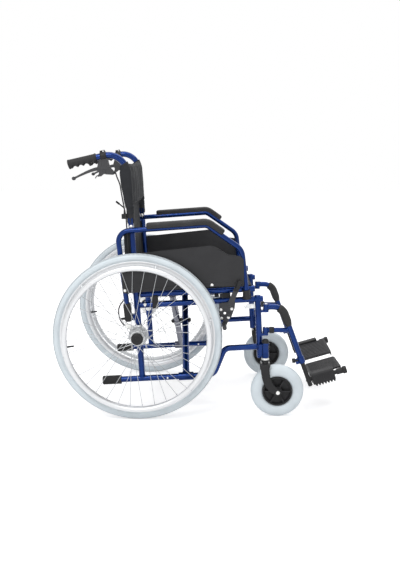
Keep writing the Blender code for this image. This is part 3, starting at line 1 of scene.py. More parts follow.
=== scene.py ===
"""The looks of a folding wheelchair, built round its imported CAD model.

Every place is in metres: +X forwards, +Y to the sitter's left, +Z up, and the floor is z = 0. Each
side piece is made for the right side and copied as its mirror image to the left.
"""

import math
from math import cos, pi, radians, sin

import bmesh
import bpy
from mathutils import Matrix, Vector, noise
from mathutils.bvhtree import BVHTree


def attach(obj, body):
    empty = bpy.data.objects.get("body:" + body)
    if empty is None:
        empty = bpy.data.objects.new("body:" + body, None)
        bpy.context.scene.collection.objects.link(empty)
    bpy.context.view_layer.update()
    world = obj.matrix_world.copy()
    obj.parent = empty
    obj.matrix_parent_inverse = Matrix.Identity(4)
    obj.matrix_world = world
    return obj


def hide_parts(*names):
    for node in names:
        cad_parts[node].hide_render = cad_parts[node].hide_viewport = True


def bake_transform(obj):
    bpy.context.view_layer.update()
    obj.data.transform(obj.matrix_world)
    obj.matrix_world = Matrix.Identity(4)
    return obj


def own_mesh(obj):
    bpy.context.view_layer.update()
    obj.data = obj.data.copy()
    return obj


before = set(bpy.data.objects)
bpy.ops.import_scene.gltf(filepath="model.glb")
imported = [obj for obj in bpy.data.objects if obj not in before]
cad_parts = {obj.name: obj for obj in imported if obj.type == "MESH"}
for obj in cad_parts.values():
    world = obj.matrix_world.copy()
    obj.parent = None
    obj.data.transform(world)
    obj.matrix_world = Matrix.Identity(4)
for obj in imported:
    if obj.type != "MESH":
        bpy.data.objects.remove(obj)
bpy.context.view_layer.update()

# The chair's driving dimensions, as the CAD source gives them.
WHEEL_R = 0.305
FOOT_REACH = 0.772
AXLE_X = -(FOOT_REACH - WHEEL_R) / 2
RAKE = radians(3.2)
FRAME_HALF = 0.2255
TUBE_R = 0.011
CANE_R = 0.0115
WHEEL_HALF = 0.2855
TYRE_HEIGHT = 0.026
TYRE_WIDTH = 0.034
TREAD_TICKS = 430
TREAD_START = 0.3002
RIM_DEPTH = 0.02
RIM_WIDTH = 0.023
HANDRIM_R = 0.258
HANDRIM_TUBE_R = 0.0095
HANDRIM_HALF = 0.3245
CASTER_R = 0.0975
CASTER_HALF = 0.25
CASTER_X = 0.508
SWIVEL_X = 0.4625
LOWER_RAIL_W = -0.172
TOP_RAIL_W = 0.106
SEAT_RAIL_W = 0.147
BACK_HINGE_W = 0.395

# The photograph's camera, from the wheels and casters that it shows.
CAMERA_PLACE = (0.013, -2.8282, 0.9754)
CAMERA_YAW = radians(-0.5)
CAMERA_PITCH = radians(10.64)
CAMERA_LENS = 46.1


def at(x, z, out):
    """The point x ahead of the rear axle and z above the floor, out to the right of the middle."""
    return Vector((AXLE_X + x, -out, z))


def mm(*points):
    """Points given in millimetres, as tuples of metres."""
    return [tuple(part / 1000 for part in point) for point in points]


def frame_at(u, w, out=FRAME_HALF):
    """The point u forward along the rails and w up along the canes, both from the rear axle."""
    x = u * cos(RAKE) - w * sin(RAKE)
    z = WHEEL_R + u * sin(RAKE) + w * cos(RAKE)
    return at(x, z, out)


AHEAD = frame_at(1, 0, 0) - frame_at(0, 0, 0)
UPWARD = frame_at(0, 1, 0) - frame_at(0, 0, 0)
UP = Vector((0, 0, 1))
INWARD = Vector((0, 1, 0))
OUTWARD = Vector((0, -1, 0))
FORWARD = Vector((1, 0, 0))


# Shader formulas.


class Wire:
    """A socket that can stand in a formula: each operator adds the Math node that it means."""

    def __init__(self, finish, socket):
        self.finish = finish
        self.socket = socket

    def math(self, operation, *values):
        inputs = {k: value for k, value in enumerate((self, *values))}
        return self.finish.node("Math", {"operation": operation}, inputs)

    def __add__(self, other):
        return self.math("ADD", other)

    def __sub__(self, other):
        return self.math("SUBTRACT", other)

    def __mul__(self, other):
        return self.math("MULTIPLY", other)

    def __pow__(self, other):
        return self.math("POWER", other)

    def ramp(self, low, high, to_low=0.0, to_high=1.0):
        """The value from low to high, spread smoothly over to_low to to_high."""
        inputs = {0: self, 1: low, 2: high, 3: to_low, 4: to_high}
        return self.finish.node("MapRange", {"interpolation_type": "SMOOTHSTEP"}, inputs)

    def sine(self):
        return self.math("SINE")

    def at_least(self, other):
        return self.math("MAXIMUM", other)

    def scaled(self, scale):
        """A vector multiplied by another."""
        return self.finish.node("VectorMath", {"operation": "MULTIPLY"}, {0: self, 1: scale})

    def parts(self):
        """The three parts of a vector."""
        return self.finish.split(self)


class Nodes:
    """A node tree that nodes are added to."""

    def __init__(self, tree):
        self.tree = tree

    def node(self, kind, settings=None, inputs=None, output=0):
        """Adds a node, sets it up, feeds its inputs and returns one of its outputs."""
        made = self.tree.nodes.new("ShaderNode" + kind)
        for key, value in (settings or {}).items():
            setattr(made, key, value)
        for key, value in (inputs or {}).items():
            socket = made.inputs[key]
            if isinstance(value, Wire):
                self.tree.links.new(value.socket, socket)
            else:
                socket.default_value = value
        return Wire(self, made.outputs[output])

    def split(self, vector):
        made = self.tree.nodes.new("ShaderNodeSeparateXYZ")
        self.tree.links.new(vector.socket, made.inputs[0])
        return [Wire(self, out) for out in made.outputs]


class Finish(Nodes):
    """One node material, with a Principled shader whose sockets are set by name."""

    def __init__(self, name, **plain):
        self.material = bpy.data.materials.new(name)
        self.material.use_nodes = True
        super().__init__(self.material.node_tree)
        self.shader = self.tree.nodes["Principled BSDF"]
        self.place = self.node("TexCoord", output="Object")
        for socket, value in plain.items():
            self.set(socket.replace("_", " "), value)

    def set(self, socket, value):
        if isinstance(value, Wire):
            self.tree.links.new(value.socket, self.shader.inputs[socket])
        elif hasattr(value, "__len__"):
            self.shader.inputs[socket].default_value = (*value, 1.0)[:4]
        else:
            self.shader.inputs[socket].default_value = value

    def noise(self, scale, detail=3.0, stretch=None):
        where = self.place.scaled(stretch) if stretch else self.place
        inputs = {"Vector": where, "Scale": scale, "Detail": detail}
        return self.node("TexNoise", {}, inputs)

    def cells(self, scale, output="Distance"):
        return self.node("TexVoronoi", {}, {"Vector": self.place, "Scale": scale}, output)

    def mix(self, share, first, second):
        """The colour first where share is 0 and second where it is 1."""
        made = self.tree.nodes.new("ShaderNodeMix")
        made.data_type = "RGBA"
        for socket, value in zip((made.inputs[0], made.inputs[6], made.inputs[7]), (share, first, second)):
            if isinstance(value, Wire):
                self.tree.links.new(value.socket, socket)
            else:
                socket.default_value = (*value, 1.0) if hasattr(value, "__len__") else value
        return Wire(self, made.outputs[2])

    def bump(self, height, distance, strength=1.0):
        inputs = {"Height": height, "Distance": distance, "Strength": strength}
        self.set("Normal", self.node("Bump", {}, inputs))


# Finishes.


def paint(name, deep, light):
    """Glossy stove enamel over steel or alloy: faint orange peel, flakes and dulled patches."""
    made = Finish(name, Metallic=0.65, Specular_IOR_Level=0.1, Coat_Roughness=0.03, IOR=1.5)
    cloud = made.noise(9.0, 4.0).ramp(0.35, 0.65)
    flakes = made.cells(1400.0, "Color").parts()[0]
    dust = made.noise(60.0, 5.0).ramp(0.62, 0.8)
    colour = made.mix(cloud * 0.35 + flakes * 0.03, deep, light)
    made.set("Base Color", made.mix(dust * 0.08, colour, (0.25, 0.27, 0.3)))
    made.set("Roughness", cloud * 0.05 + dust * 0.08 + 0.2)
    made.set("Coat Weight", dust * -0.1 + 0.34)
    made.bump(made.noise(260.0, 2.0), 0.00005, 0.12)
    return made.material


def metal(name, colour, roughness, grain, stretch, metallic=1.0):
    """Bare metal with fine drawn grain along one direction, and small dull spots."""
    made = Finish(name, Metallic=metallic)
    lines = made.noise(grain, 4.0, stretch=stretch)
    spots = made.noise(70.0, 5.0).ramp(0.6, 0.8)
    dull = [part * 0.72 for part in colour]
    made.set("Base Color", made.mix(spots * 0.35 + lines * 0.15, colour, dull))
    made.set("Roughness", lines * 0.14 + spots * 0.12 + roughness)
    made.bump(lines, 0.00008, 0.4)
    return made.material


def rubber(name, colour, grime, roughness, ring=None):
    """Tyre rubber, with fine mould grain and dust where it rolls. With a ring, it also gets painted shade:
    dark ticks over the cuts of its tread.
    """
    made = Finish(name, Specular_IOR_Level=0.42)
    grain = made.noise(420.0, 3.0)
    cloud = made.noise(14.0, 5.0).ramp(0.4, 0.7)
    colour_there = made.mix(cloud * 0.3, colour, grime)
    if ring:
        x, _, z = made.place.parts()
        centre_x, centre_z, start, end = ring
        reach = ((x - centre_x) ** 2.0 + (z - centre_z) ** 2.0) ** 0.5
        colour_there = made.mix(reach.ramp(start, end) * 0.3, colour_there, grime)
        # Painted shade: dark ticks on the tread's outer band stand for the shade inside its cuts.
        turn = (z - centre_z).math("ARCTAN2", x - centre_x)
        cut = ((turn * TREAD_TICKS).math("COSINE") * -1).ramp(0.0, 0.8)
        painted_cut_shade = [part * 0.22 for part in grime]
        colour_there = made.mix(
            reach.ramp(TREAD_START, TREAD_START + 0.0012) * cut * 0.85, colour_there, painted_cut_shade
        )
    made.set("Base Color", colour_there)
    made.set("Roughness", cloud * 0.12 + grain * 0.08 + roughness)
    made.bump(grain, 0.0001, 0.35)
    return made.material


def plastic(name, colour, lifted, roughness, grain_scale, depth):
    """Moulded plastic with a spark-eroded grain and slightly greyed high spots."""
    made = Finish(name, Specular_IOR_Level=0.26)
    grain = made.cells(grain_scale)
    cloud = made.noise(22.0, 5.0).ramp(0.4, 0.72)
    made.set("Base Color", made.mix(cloud * 0.5 + grain * 0.2, colour, lifted))
    made.set("Roughness", cloud * 0.14 + grain * 0.1 + roughness)
    made.bump(grain, depth, 0.5)
    return made.material


def foam(name, colour, lifted):
    """Skinned foam with a leathery pebble grain that is worn smooth in places."""
    made = Finish(name, Specular_IOR_Level=0.32)
    pebbles = made.cells(520.0)
    creases = made.noise(36.0, 6.0)
    worn = made.noise(11.0, 3.0).ramp(0.48, 0.66)
    made.set("Base Color", made.mix(pebbles * 0.5 + worn * 0.4, colour, lifted))
    made.set("Roughness", worn * -0.14 + creases * 0.12 + 0.5)
    made.bump(pebbles * (worn * -0.5 + 1.0) + creases * 0.5, 0.00035, 0.7)
    return made.material


def nylon(name, colour, lifted, across, up):
    """Woven nylon: the threads run along the two named axes, and the cloth has soft creases."""
    made = Finish(name, Sheen_Weight=0.02, Sheen_Roughness=0.45, Specular_IOR_Level=0.14)
    parts = made.place.parts()
    thread = 2 * pi / 0.0011
    warp = (parts[across] * thread).sine()
    weft = (parts[up] * thread).sine()
    weave = (warp * weft) * 0.5 + 0.5
    slub = made.noise(900.0, 2.0)
    cloud = made.noise(13.0, 5.0).ramp(0.35, 0.7)
    creases = made.noise(28.0, 6.0, stretch=(1.0, 0.6, 0.22))
    made.set("Base Color", made.mix(weave * 0.35 + cloud * 0.45 + slub * 0.1, colour, lifted))
    made.set("Roughness", weave * 0.1 + cloud * 0.1 + 0.58)
    made.bump(weave * 0.1 + creases * 1.6 + slub * 0.05, 0.0011, 0.6)
    return made.material


def thread(name, colour):
    """Twisted sewing thread."""
    made = Finish(name, Roughness=0.7)
    x, y, z = made.place.parts()
    twist = ((x + y + z) * 5200.0).sine()
    made.set("Base Color", made.mix(twist * 0.3 + 0.4, colour, [part * 1.8 for part in colour]))
    made.bump(twist, 0.0001, 0.5)
    return made.material


FINISHES = {
    "blue_paint": paint("blue_paint", (0.001, 0.021, 0.128), (0.0015, 0.041, 0.23)),
    # Painted light: a lighter, greyer copy of the blue paint, showing how light falls on the second X bar.
    "grey_paint": paint("grey_paint", (0.085, 0.09, 0.13), (0.15, 0.16, 0.21)),
    "silver_alloy": metal("silver_alloy", (0.72, 0.73, 0.74), 0.34, 260.0, (1.0, 0.2, 1.0), 0.75),
    "chrome": metal("chrome", (0.72, 0.73, 0.75), 0.16, 420.0, (1.0, 1.0, 0.2)),
    "black_steel": metal("black_steel", (0.045, 0.046, 0.05), 0.38, 300.0, (0.3, 1.0, 1.0), 0.5),
    "steel_wire": metal("steel_wire", (0.47, 0.48, 0.49), 0.3, 600.0, (1.0, 1.0, 1.0)),
    "zinc_bolt": metal("zinc_bolt", (0.8, 0.8, 0.78), 0.28, 500.0, (1.0, 1.0, 0.3)),
    "grey_tyre": rubber(
        "grey_tyre", (0.72, 0.79, 0.83), (0.5, 0.54, 0.57), 0.55, (AXLE_X, WHEEL_R, 0.296, 0.3045)
    ),
    "grey_caster": rubber("grey_caster", (0.7, 0.77, 0.81), (0.52, 0.56, 0.59), 0.42),
    "black_rubber": rubber("black_rubber", (0.014, 0.014, 0.015), (0.045, 0.044, 0.043), 0.6),
    "black_plastic": plastic(
        "black_plastic", (0.013, 0.013, 0.014), (0.03, 0.03, 0.032), 0.36, 1500.0, 0.00012
    ),
    "dark_panel": plastic("dark_panel", (0.027, 0.027, 0.029), (0.04, 0.04, 0.043), 0.42, 1100.0, 0.00022),
    "grey_cast": plastic("grey_cast", (0.05, 0.051, 0.054), (0.08, 0.08, 0.084), 0.4, 1700.0, 0.0001),
    "black_foam": foam("black_foam", (0.014, 0.014, 0.015), (0.038, 0.038, 0.04)),
    "black_fabric": nylon("black_fabric", (0.018, 0.019, 0.021), (0.038, 0.04, 0.045), 1, 2),
    # Painted shade: the back panel's nylon is a darker copy of the black fabric, to offset the light that
    # falls on the panel.
    "panel_fabric": nylon("panel_fabric", (0.011, 0.012, 0.014), (0.024, 0.025, 0.029), 1, 2),
    "seat_fabric": nylon("seat_fabric", (0.018, 0.019, 0.021), (0.04, 0.042, 0.047), 0, 1),
    "black_thread": thread("black_thread", (0.035, 0.036, 0.04)),
}


# Shapes.


def rounded(points, radii, closed=False, turn=radians(9)):
    """The corners of a path made round, with a point about every `turn` radians."""
    points = [Vector(point) for point in points]
    count = len(points)
    if not hasattr(radii, "__len__"):
        radii = [radii] * count
    path = []
    for i, corner in enumerate(points):
        if radii[i] <= 0 or not (closed or 0 < i < count - 1):
            path.append(corner)
            continue
        back = (points[i - 1] - corner).normalized()
        ahead = (points[(i + 1) % count] - corner).normalized()
        opening = back.angle(ahead)
        bend = pi - opening
        if bend < 0.01:
            path.append(corner)
            continue
        middle = corner + (back + ahead).normalized() * radii[i] / sin(opening / 2)
        first = corner + back * radii[i] / math.tan(opening / 2) - middle
        last = corner + ahead * radii[i] / math.tan(opening / 2) - middle
        steps = max(2, round(bend / turn))
        for k in range(steps + 1):
            share = k * bend / steps
            path.append(middle + (first * sin(bend - share) + last * sin(share)) / sin(bend))
    return path


def smooth(route, steps):
    """A Catmull-Rom curve through the route's points."""
    ends = [2 * route[0] - route[1], *route, 2 * route[-1] - route[-2]]
    path = []
    for a, b, c, d in zip(ends, ends[1:], ends[2:], ends[3:]):
        for k in range(steps):
            t = k / steps
            point = 2 * b + (c - a) * t + (2 * a - 5 * b + 4 * c - d) * t**2 + (3 * b - a - 3 * c + d) * t**3
            path.append(0.5 * point)
    return [*path, route[-1]]


def clipped(path, start, end):
    """The stretch of a path between two distances along it."""
    walked = 0.0
    stretch = []
    for first, second in zip(path, path[1:]):
        length = (second - first).length
        for mark in (start, end):
            if walked <= mark < walked + length:
                stretch.append(first.lerp(second, (mark - walked) / length))
        if start < walked + length < end:
            stretch.append(second)
        walked += length
    return stretch


def both_sides(half):
    """Points of (reach, side), and back along their mirror image."""
    return half + [(reach, -side) for reach, side in reversed(half)]


def way_at(path, i):
    """The direction of a path at its point i."""
    return (path[min(i + 1, len(path) - 1)] - path[max(i - 1, 0)]).normalized()


def along(start, end, distance):
    """The point that far from start towards end."""
    return start + (end - start).normalized() * distance


def length_of(path):
    return sum((b - a).length for a, b in zip(path, path[1:]))


def round_off(edge, reach):
    """0 at an edge, rising like a quarter circle to 1 at that reach from it."""
    return math.sqrt(max(0.0, 1 - max(0.0, 1 - edge / reach) ** 2))


def squared(value, power):
    """A cosine or sine that makes a circle squarer, the more the lower the power is."""
    return math.copysign(abs(value) ** power, value)


def circle(count):
    """Angles evenly round a circle."""
    return [2 * pi * k / count for k in range(count)]


def facing(start, end):
    """The matrix at start whose Z axis points to end."""
    return Matrix.Translation(start) @ (end - start).to_track_quat("Z", "Y").to_matrix().to_4x4()


class Shape:
    """A mesh that grows by rods, tubes, turned forms, slabs and blocks."""

    def __init__(self):
        self.bm = bmesh.new()

    def wall(self, low, high):
        """Quads between two rings of equally many vertices."""
        for k in range(len(low)):
            self.bm.faces.new((low[k - 1], low[k], high[k], high[k - 1]))

    def rings(self, loops, closed=False, caps=True):
        """Joins rings of equally many points by quads, and closes the ends."""
        made = [[self.bm.verts.new(point) for point in loop] for loop in loops]
        for low, high in zip(made, made[1:] + made[:1] if closed else made[1:]):
            self.wall(low, high)
        if caps and not closed:
            self.bm.faces.new(made[0])
            self.bm.faces.new(reversed(made[-1]))

    def sweep(self, path, radius, sides=24, closed=False, oval=None, up=None):
        """A bar along a path. radius is a number, or one for each point; oval is (across, along up)."""
        count = len(path)
        radii = radius if hasattr(radius, "__len__") else [radius] * count
        normal = None
        loops = []
        for i, point in enumerate(path):
            before = path[i - 1] if i or closed else point
            after = path[(i + 1) % count] if i < count - 1 or closed else point
            way = (after - before).normalized()
            if up is not None:
                normal = up - way * up.dot(way)
            elif normal is None:
                normal = way.orthogonal()
            else:
                normal = normal - way * normal.dot(way)
            normal = normal.normalized()
            side = way.cross(normal)
            wide, high = oval or (1.0, 1.0)
            loop = []
            for angle in circle(sides):
                offset = side * cos(angle) * wide + normal * sin(angle) * high
                loop.append(point + offset * radii[i])
            loops.append(loop)
        self.rings(loops, closed)
        return self

    def tube(self, points, radius, radii=0.0, sides=24):
        return self.sweep(rounded(points, radii), radius, sides)

    def rod(self, start, end, radius, end_radius=None, sides=24, soft=0.0):
        """A straight round bar. soft rounds its end edges by that much."""
        last = radius if end_radius is None else end_radius
        length = (end - start).length
        if soft <= 0:
            return self.lathe([(radius, 0), (last, length)], start, end, sides)
        profile = []
        for k in range(4):
            turn = pi / 2 * k / 3
            profile.append((radius - soft + soft * sin(turn), soft - soft * cos(turn)))
        for k in range(4):
            turn = pi / 2 * k / 3
            profile.append((last - soft + soft * cos(turn), length - soft + soft * sin(turn)))
        return self.lathe(profile, start, end, sides)

    def lathe(self, profile, start, end, steps=48, closed=False, caps=True):
        """Turns (radius, height) points about the line from start to end."""
        matrix = facing(start, end)
        loops = []
        for radius, height in profile:
            loops.append([matrix @ Vector((radius * cos(a), radius * sin(a), height)) for a in circle(steps)])
        self.rings(loops, closed, caps)
        return self

    def pin(self, x, z, inner, outer, radius, sides=24, soft=0.0):
        """A rod across the chair."""
        return self.rod(at(x, z, inner), at(x, z, outer), radius, sides=sides, soft=soft)

    def slab(self, outline, inner, outer, radii=0.0, place=at, holes=()):
        """A flat sheet in the side plane between two distances out. Points are (x, z) or (u, w)."""
        path = rounded([(*point, 0) for point in outline], radii, True)
        flat = [[(p.x, p.y) for p in path]]
        for x, z, radius in holes:
            flat.append([(x + radius * cos(a), z + radius * sin(a)) for a in circle(20)])
        walls = []
        for out in (inner, outer):
            edges = []
            wall = []
            for loop in flat:
                verts = [self.bm.verts.new(place(x, z, out)) for x, z in loop]
                edges += [self.bm.edges.new((verts[k - 1], verts[k])) for k in range(len(verts))]
                wall.append(verts)
            bmesh.ops.triangle_fill(self.bm, edges=edges, use_beauty=True)
            walls.append(wall)
        for low, high in zip(*walls):
            self.wall(low, high)
        return self

    def block(self, low, high, matrix=Matrix.Identity(4)):
        """A box between two corners, placed by a matrix."""
        low, high = Vector(low), Vector(high)
        scale = Matrix.Diagonal((*(high - low), 1))
        bmesh.ops.create_cube(self.bm, size=1, matrix=matrix @ Matrix.Translation((low + high) / 2) @ scale)
        return self

    def level(self, x, z, out):
        """A level box: x, z and out are each (from, to)."""
        return self.block((AXLE_X + x[0], -out[1], z[0]), (AXLE_X + x[1], -out[0], z[1]))

    def ball(self, centre, radius, scale=(1, 1, 1), steps=16):
        matrix = Matrix.Translation(centre) @ Matrix.Diagonal((*scale, 1))
        bmesh.ops.create_uvsphere(
            self.bm, u_segments=steps, v_segments=steps // 2, radius=radius, matrix=matrix
        )
        return self

    def bolt(self, x, z, out, radius, rise=0.0022, sides=24):
        """A domed bolt head that faces outward, with its washer."""
        self.pin(x, z, out - 0.001, out + 0.0008, radius * 1.35, soft=0.0003)
        profile = [(radius, 0), (radius, rise * 0.45), (radius * 0.8, rise * 0.85), (radius * 0.4, rise)]
        profile.append((0.0004, rise))
        return self.lathe(profile, at(x, z, out + 0.0008), at(x, z, out + 1), sides)

    def bead(self, centre, axis, radius, thickness, sides=28):
        """A weld bead: a rippled ring round a tube's end, at a point, square to an axis."""
        matrix = facing(centre, centre + axis)
        path = [matrix @ Vector((radius * cos(a), radius * sin(a), 0)) for a in circle(sides)]
        radii = [thickness * (1.0 if k % 2 else 0.82) for k in range(sides)]
        return self.sweep(path, radii, 8, closed=True)

    def mirrored(self):
        """A copy on the other side of the middle plane."""
        twin = Shape()
        mesh = bpy.data.meshes.new("twin")
        self.bm.to_mesh(mesh)
        mesh.transform(Matrix.Scale(-1, 4, (0, 1, 0)))
        twin.bm.from_mesh(mesh)
        bmesh.ops.reverse_faces(twin.bm, faces=twin.bm.faces)
        bpy.data.meshes.remove(mesh)
        return twin

    def object(self, name, finish, edge=0.0, angle=38):
        """The shape as an object with smooth faces; edge bevels its sharp edges."""
        bmesh.ops.recalc_face_normals(self.bm, faces=self.bm.faces)
        mesh = bpy.data.meshes.new(name)
        self.bm.to_mesh(mesh)
        self.bm.free()
        mesh.shade_smooth()
        mesh.set_sharp_from_angle(angle=radians(angle))
        made = bpy.data.objects.new(name, mesh)
        bpy.context.scene.collection.objects.link(made)
        made.data.materials.append(FINISHES[finish])
        if edge:
            bevel = made.modifiers.new("Bevel", "BEVEL")
            bevel.width = edge
            bevel.segments = 2
            bevel.limit_method = "ANGLE"
            bevel.angle_limit = radians(angle)
            bevel.harden_normals = False
        made["finish"] = finish
        return made


def settle(made, body, nodes=()):
    """Lets a finished piece ride on its body, and hides the CAD nodes that it stands for."""
    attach(made, body)
    if nodes:
        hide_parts(*nodes)
    return made


def pair(finish, body, node=None, edge=0.0, angle=38):
    """Draws the right piece at once, with its mirror image, on their bodies in place of their CAD nodes.

    The function's name is the piece's name, and it then stands for the two pieces.
    """

    def drawn(draw):
        shape = Shape()
        draw(shape)
        made = []
        for side, form in (("right", shape), ("left", shape.mirrored())):
            piece = form.object(f"{side}_{draw.__name__}_look", finish, edge, angle)
            made.append(settle(piece, f"{side}_{body}", [f"{side}_{node}"] if node else []))
        return made

    return drawn


def single(name, shape, finish, body, nodes=(), angle=38):
    return settle(shape.object(f"{name}_look", finish, angle=angle), body, nodes)


# Rear wheels.

TREAD_DEPTH = 0.0015
TYRE_SIDE = mm(
    (305, 3), (304.7, 6.2), (303.4, 9.5), (301, 12.7), (297.8, 15.1), (294.8, 16.3), (293, 15.8),
    (291.2, 16.6), (287.2, 16.1), (283.2, 14.1), (280.6, 11.7), (278.8, 10.4), (276, 9),
)
SPOKES = 36
SPOKE_R = 0.001
SPOKE_TURN = radians(-1.9)
VALVE_TURN = radians(188)
CAP_R = 0.022
HUB_R = 0.0155
FLANGE_R = 0.027
DRUM_IN = FRAME_HALF + 0.023
DRUM_OUT = DRUM_IN + 0.017
HUB_END = WHEEL_HALF + 0.02
FLANGES = (DRUM_OUT + 0.001, HUB_END - 0.006)
RIM_OUTER = WHEEL_R - TYRE_HEIGHT
RIM_INNER = RIM_OUTER - RIM_DEPTH


def on_wheel(radius, angle, out, x=0.0, z=WHEEL_R):
    """The point at that radius and angle round a hub."""
    return at(x + radius * cos(angle), z + radius * sin(angle), out)


def round_ring(shape, profile, out, steps, x=0.0, z=WHEEL_R):
    """A closed ring of (radius, side) points round a hub."""
    loops = [
        [on_wheel(radius, angle, out + side, x, z) for radius, side in profile] for angle in circle(steps)
    ]
    shape.rings(loops, closed=True)


@pair("grey_tyre", "wheel", "rear_tyre")
def rear_tyre(shape):
    """The tyre, with a cut between every two blocks of its shoulders and a groove in the middle."""
    profile = [*((r, -s) for r, s in reversed(TYRE_SIDE)), (0.3041, 0.0), *TYRE_SIDE]
    loops = []
    for k in range(2 * TREAD_TICKS):
        angle = pi * k / TREAD_TICKS
        cut = TREAD_DEPTH if k % 2 else 0.0
        loop = []
        for radius, side in profile:
            shoulder = 0.0055 < abs(side) < 0.014 and radius > 0.3
            loop.append(on_wheel(radius - (cut if shoulder else 0.0), angle, WHEEL_HALF + side))
        loops.append(loop)
    shape.rings(loops, closed=True)


@pair("silver_alloy", "wheel", "rear_wheel")
def rim(shape):
    half = [
        (RIM_OUTER - 0.0004, 0.009),
        (RIM_OUTER - 0.0002, 0.0112),
        (RIM_OUTER - 0.0015, 0.0118),
        (RIM_OUTER - 0.004, 0.0116),
        (RIM_OUTER - 0.01, 0.0108),
        (RIM_OUTER - 0.0135, 0.0088),
        (RIM_OUTER - 0.0168, 0.0064),
        (RIM_OUTER - 0.0192, 0.004),
        (RIM_INNER, 0.0014),
    ]
    profile = both_sides(half)
    profile.append((RIM_OUTER - 0.006, -0.007))
    profile.append((RIM_OUTER - 0.006, 0.007))
    round_ring(shape, profile, WHEEL_HALF, 144)


def spoke_ends():
    """Where each spoke starts on its flange and ends at the rim. They cross three others."""
    ends = []
    step = 2 * pi / SPOKES
    for side_of_hub, flange in enumerate(FLANGES):
        for lean in (-1, 1):
            for k in range(SPOKES // 4):
                at_rim = SPOKE_TURN + step * (4 * k + 2 * (lean > 0) + side_of_hub + 0.5)
                at_hub = at_rim - lean * radians(68)
                hub_end = on_wheel(FLANGE_R - 0.004, at_hub, flange + lean * 0.0026)
                rim_end = on_wheel(RIM_INNER + 0.002, at_rim, WHEEL_HALF)
                ends.append((hub_end, rim_end, lean))
    return ends


@pair("steel_wire", "wheel", "rear_wheel")
def spokes(shape):
    for hub_end, rim_end, lean in spoke_ends():
        across = Vector((0, 0.0032 * lean, 0))
        bent = [hub_end + across, hub_end, along(hub_end, rim_end, 0.004), rim_end]
        shape.sweep(rounded(bent, (0, 0.0012, 0, 0)), SPOKE_R, 6)
        shape.rod(hub_end + across * 0.8, hub_end + across * 1.15, SPOKE_R * 1.9, sides=8)


@pair("chrome", "wheel", "rear_wheel")
def nipples(shape):
    for hub_end, rim_end, _ in spoke_ends():
        shape.rod(along(rim_end, hub_end, -0.002), along(rim_end, hub_end, 0.0085), 0.0024, 0.0019, sides=8)


@pair("black_rubber", "wheel", "rear_wheel")
def valve(shape):
    foot = on_wheel(RIM_INNER + 0.003, VALVE_TURN, WHEEL_HALF)
    tip = on_wheel(RIM_INNER - 0.026, VALVE_TURN, WHEEL_HALF)
    shape.rod(foot, along(foot, tip, 0.012), 0.004, 0.0034, sides=16)
    shape.rod(along(foot, tip, 0.011), tip, 0.0031, sides=16, soft=0.0008)


@pair("silver_alloy", "wheel", "rear_wheel", angle=30)
def hub(shape):
    outward = at(0, WHEEL_R, 1)
    length = HUB_END - DRUM_OUT
    profile = [
        (0.018, -0.001),
        (HUB_R, 0.0045),
        (HUB_R - 0.0018, length * 0.45),
        (HUB_R - 0.0018, length * 0.65),
        (HUB_R, length - 0.011),
        (HUB_R + 0.0005, length - 0.001),
        (HUB_R - 0.002, length),
    ]
    shape.lathe(profile, at(0, WHEEL_R, DRUM_OUT), outward, 40)
    for flange in FLANGES:
        disc = both_sides([(0.012, -0.0019), (FLANGE_R - 0.001, -0.0019), (FLANGE_R, -0.0009)])
        shape.lathe(disc, at(0, WHEEL_R, flange), outward, 48)


@pair("silver_alloy", "wheel", "rear_wheel", angle=30)
def brake_drum(shape):
    """The brake drum, with cooling grooves round it and a dished outer face."""
    width = DRUM_OUT - DRUM_IN
    profile = mm((33.5, 0), (35.4, 0.8), (36, 2))
    for k in range(3):
        start = 0.0035 + 0.0042 * k
        profile += [
            (0.036, start), (0.0352, start + 0.0006), (0.0352, start + 0.0018), (0.036, start + 0.0024)
        ]
    profile += [(0.036, width - 0.0016), (0.0346, width), (0.029, width - 0.0008), (0.0262, width - 0.0024)]
    shape.lathe(profile, at(0, WHEEL_R, DRUM_IN), at(0, WHEEL_R, 1), 56)


@pair("black_plastic", "frame", "rear_axle", angle=30)
def axle_cap(shape):
    """The cap over the hub's end, ribbed round its edge, with the release button in the middle."""
    start = at(0, WHEEL_R, HUB_END + 0.0003)
    outward = at(0, WHEEL_R, 1)
    ribs = 40
    profile = [(CAP_R - 0.0003, 0.0), (CAP_R, 0.0012), (CAP_R, 0.0052), (CAP_R - 0.0009, 0.0072)]
    profile += [
        (CAP_R - 0.0038, 0.0094), (0.013, 0.0108), (0.0086, 0.0113), (0.008, 0.0104), (0.0074, 0.0104)
    ]
    matrix = facing(start, outward)
    loops = []
    for radius, height in profile:
        loop = []
        for k in range(ribs * 2):
            angle = pi * k / ribs
            reach = radius - (0.0006 if k % 2 and radius > CAP_R - 0.001 else 0.0)
            loop.append(matrix @ Vector((reach * cos(angle), reach * sin(angle), height)))
        loops.append(loop)
    shape.rings(loops)
    button = mm((6.8, 10), (6.8, 11.8), (6, 12.2), (1, 12.2))
    shape.lathe(button, start, outward, 32)


@pair("zinc_bolt", "frame", "rear_axle", angle=30)
def axle_shaft(shape):
    inside = FRAME_HALF - 0.0163
    shape.pin(0, WHEEL_R, inside - 0.009, inside - 0.0006, 0.0098, sides=6)
    shape.pin(0, WHEEL_R, inside - 0.001, inside, 0.0125, sides=28)
    shape.pin(0, WHEEL_R, inside - 0.012, inside, 0.0058, soft=0.001)
    shape.pin(0, WHEEL_R, FRAME_HALF + 0.0215, HUB_END + 0.002, 0.006)


@pair("silver_alloy", "wheel", "handrim")
def handrim(shape):
    profile = [(HANDRIM_R + HANDRIM_TUBE_R * cos(a), HANDRIM_TUBE_R * sin(a)) for a in circle(24)]
    round_ring(shape, profile, HANDRIM_HALF, 128)
    seam = [on_wheel(HANDRIM_R, radians(turn), HANDRIM_HALF) for turn in (-100, -99.4)]
    shape.rod(*seam, HANDRIM_TUBE_R + 0.0002)


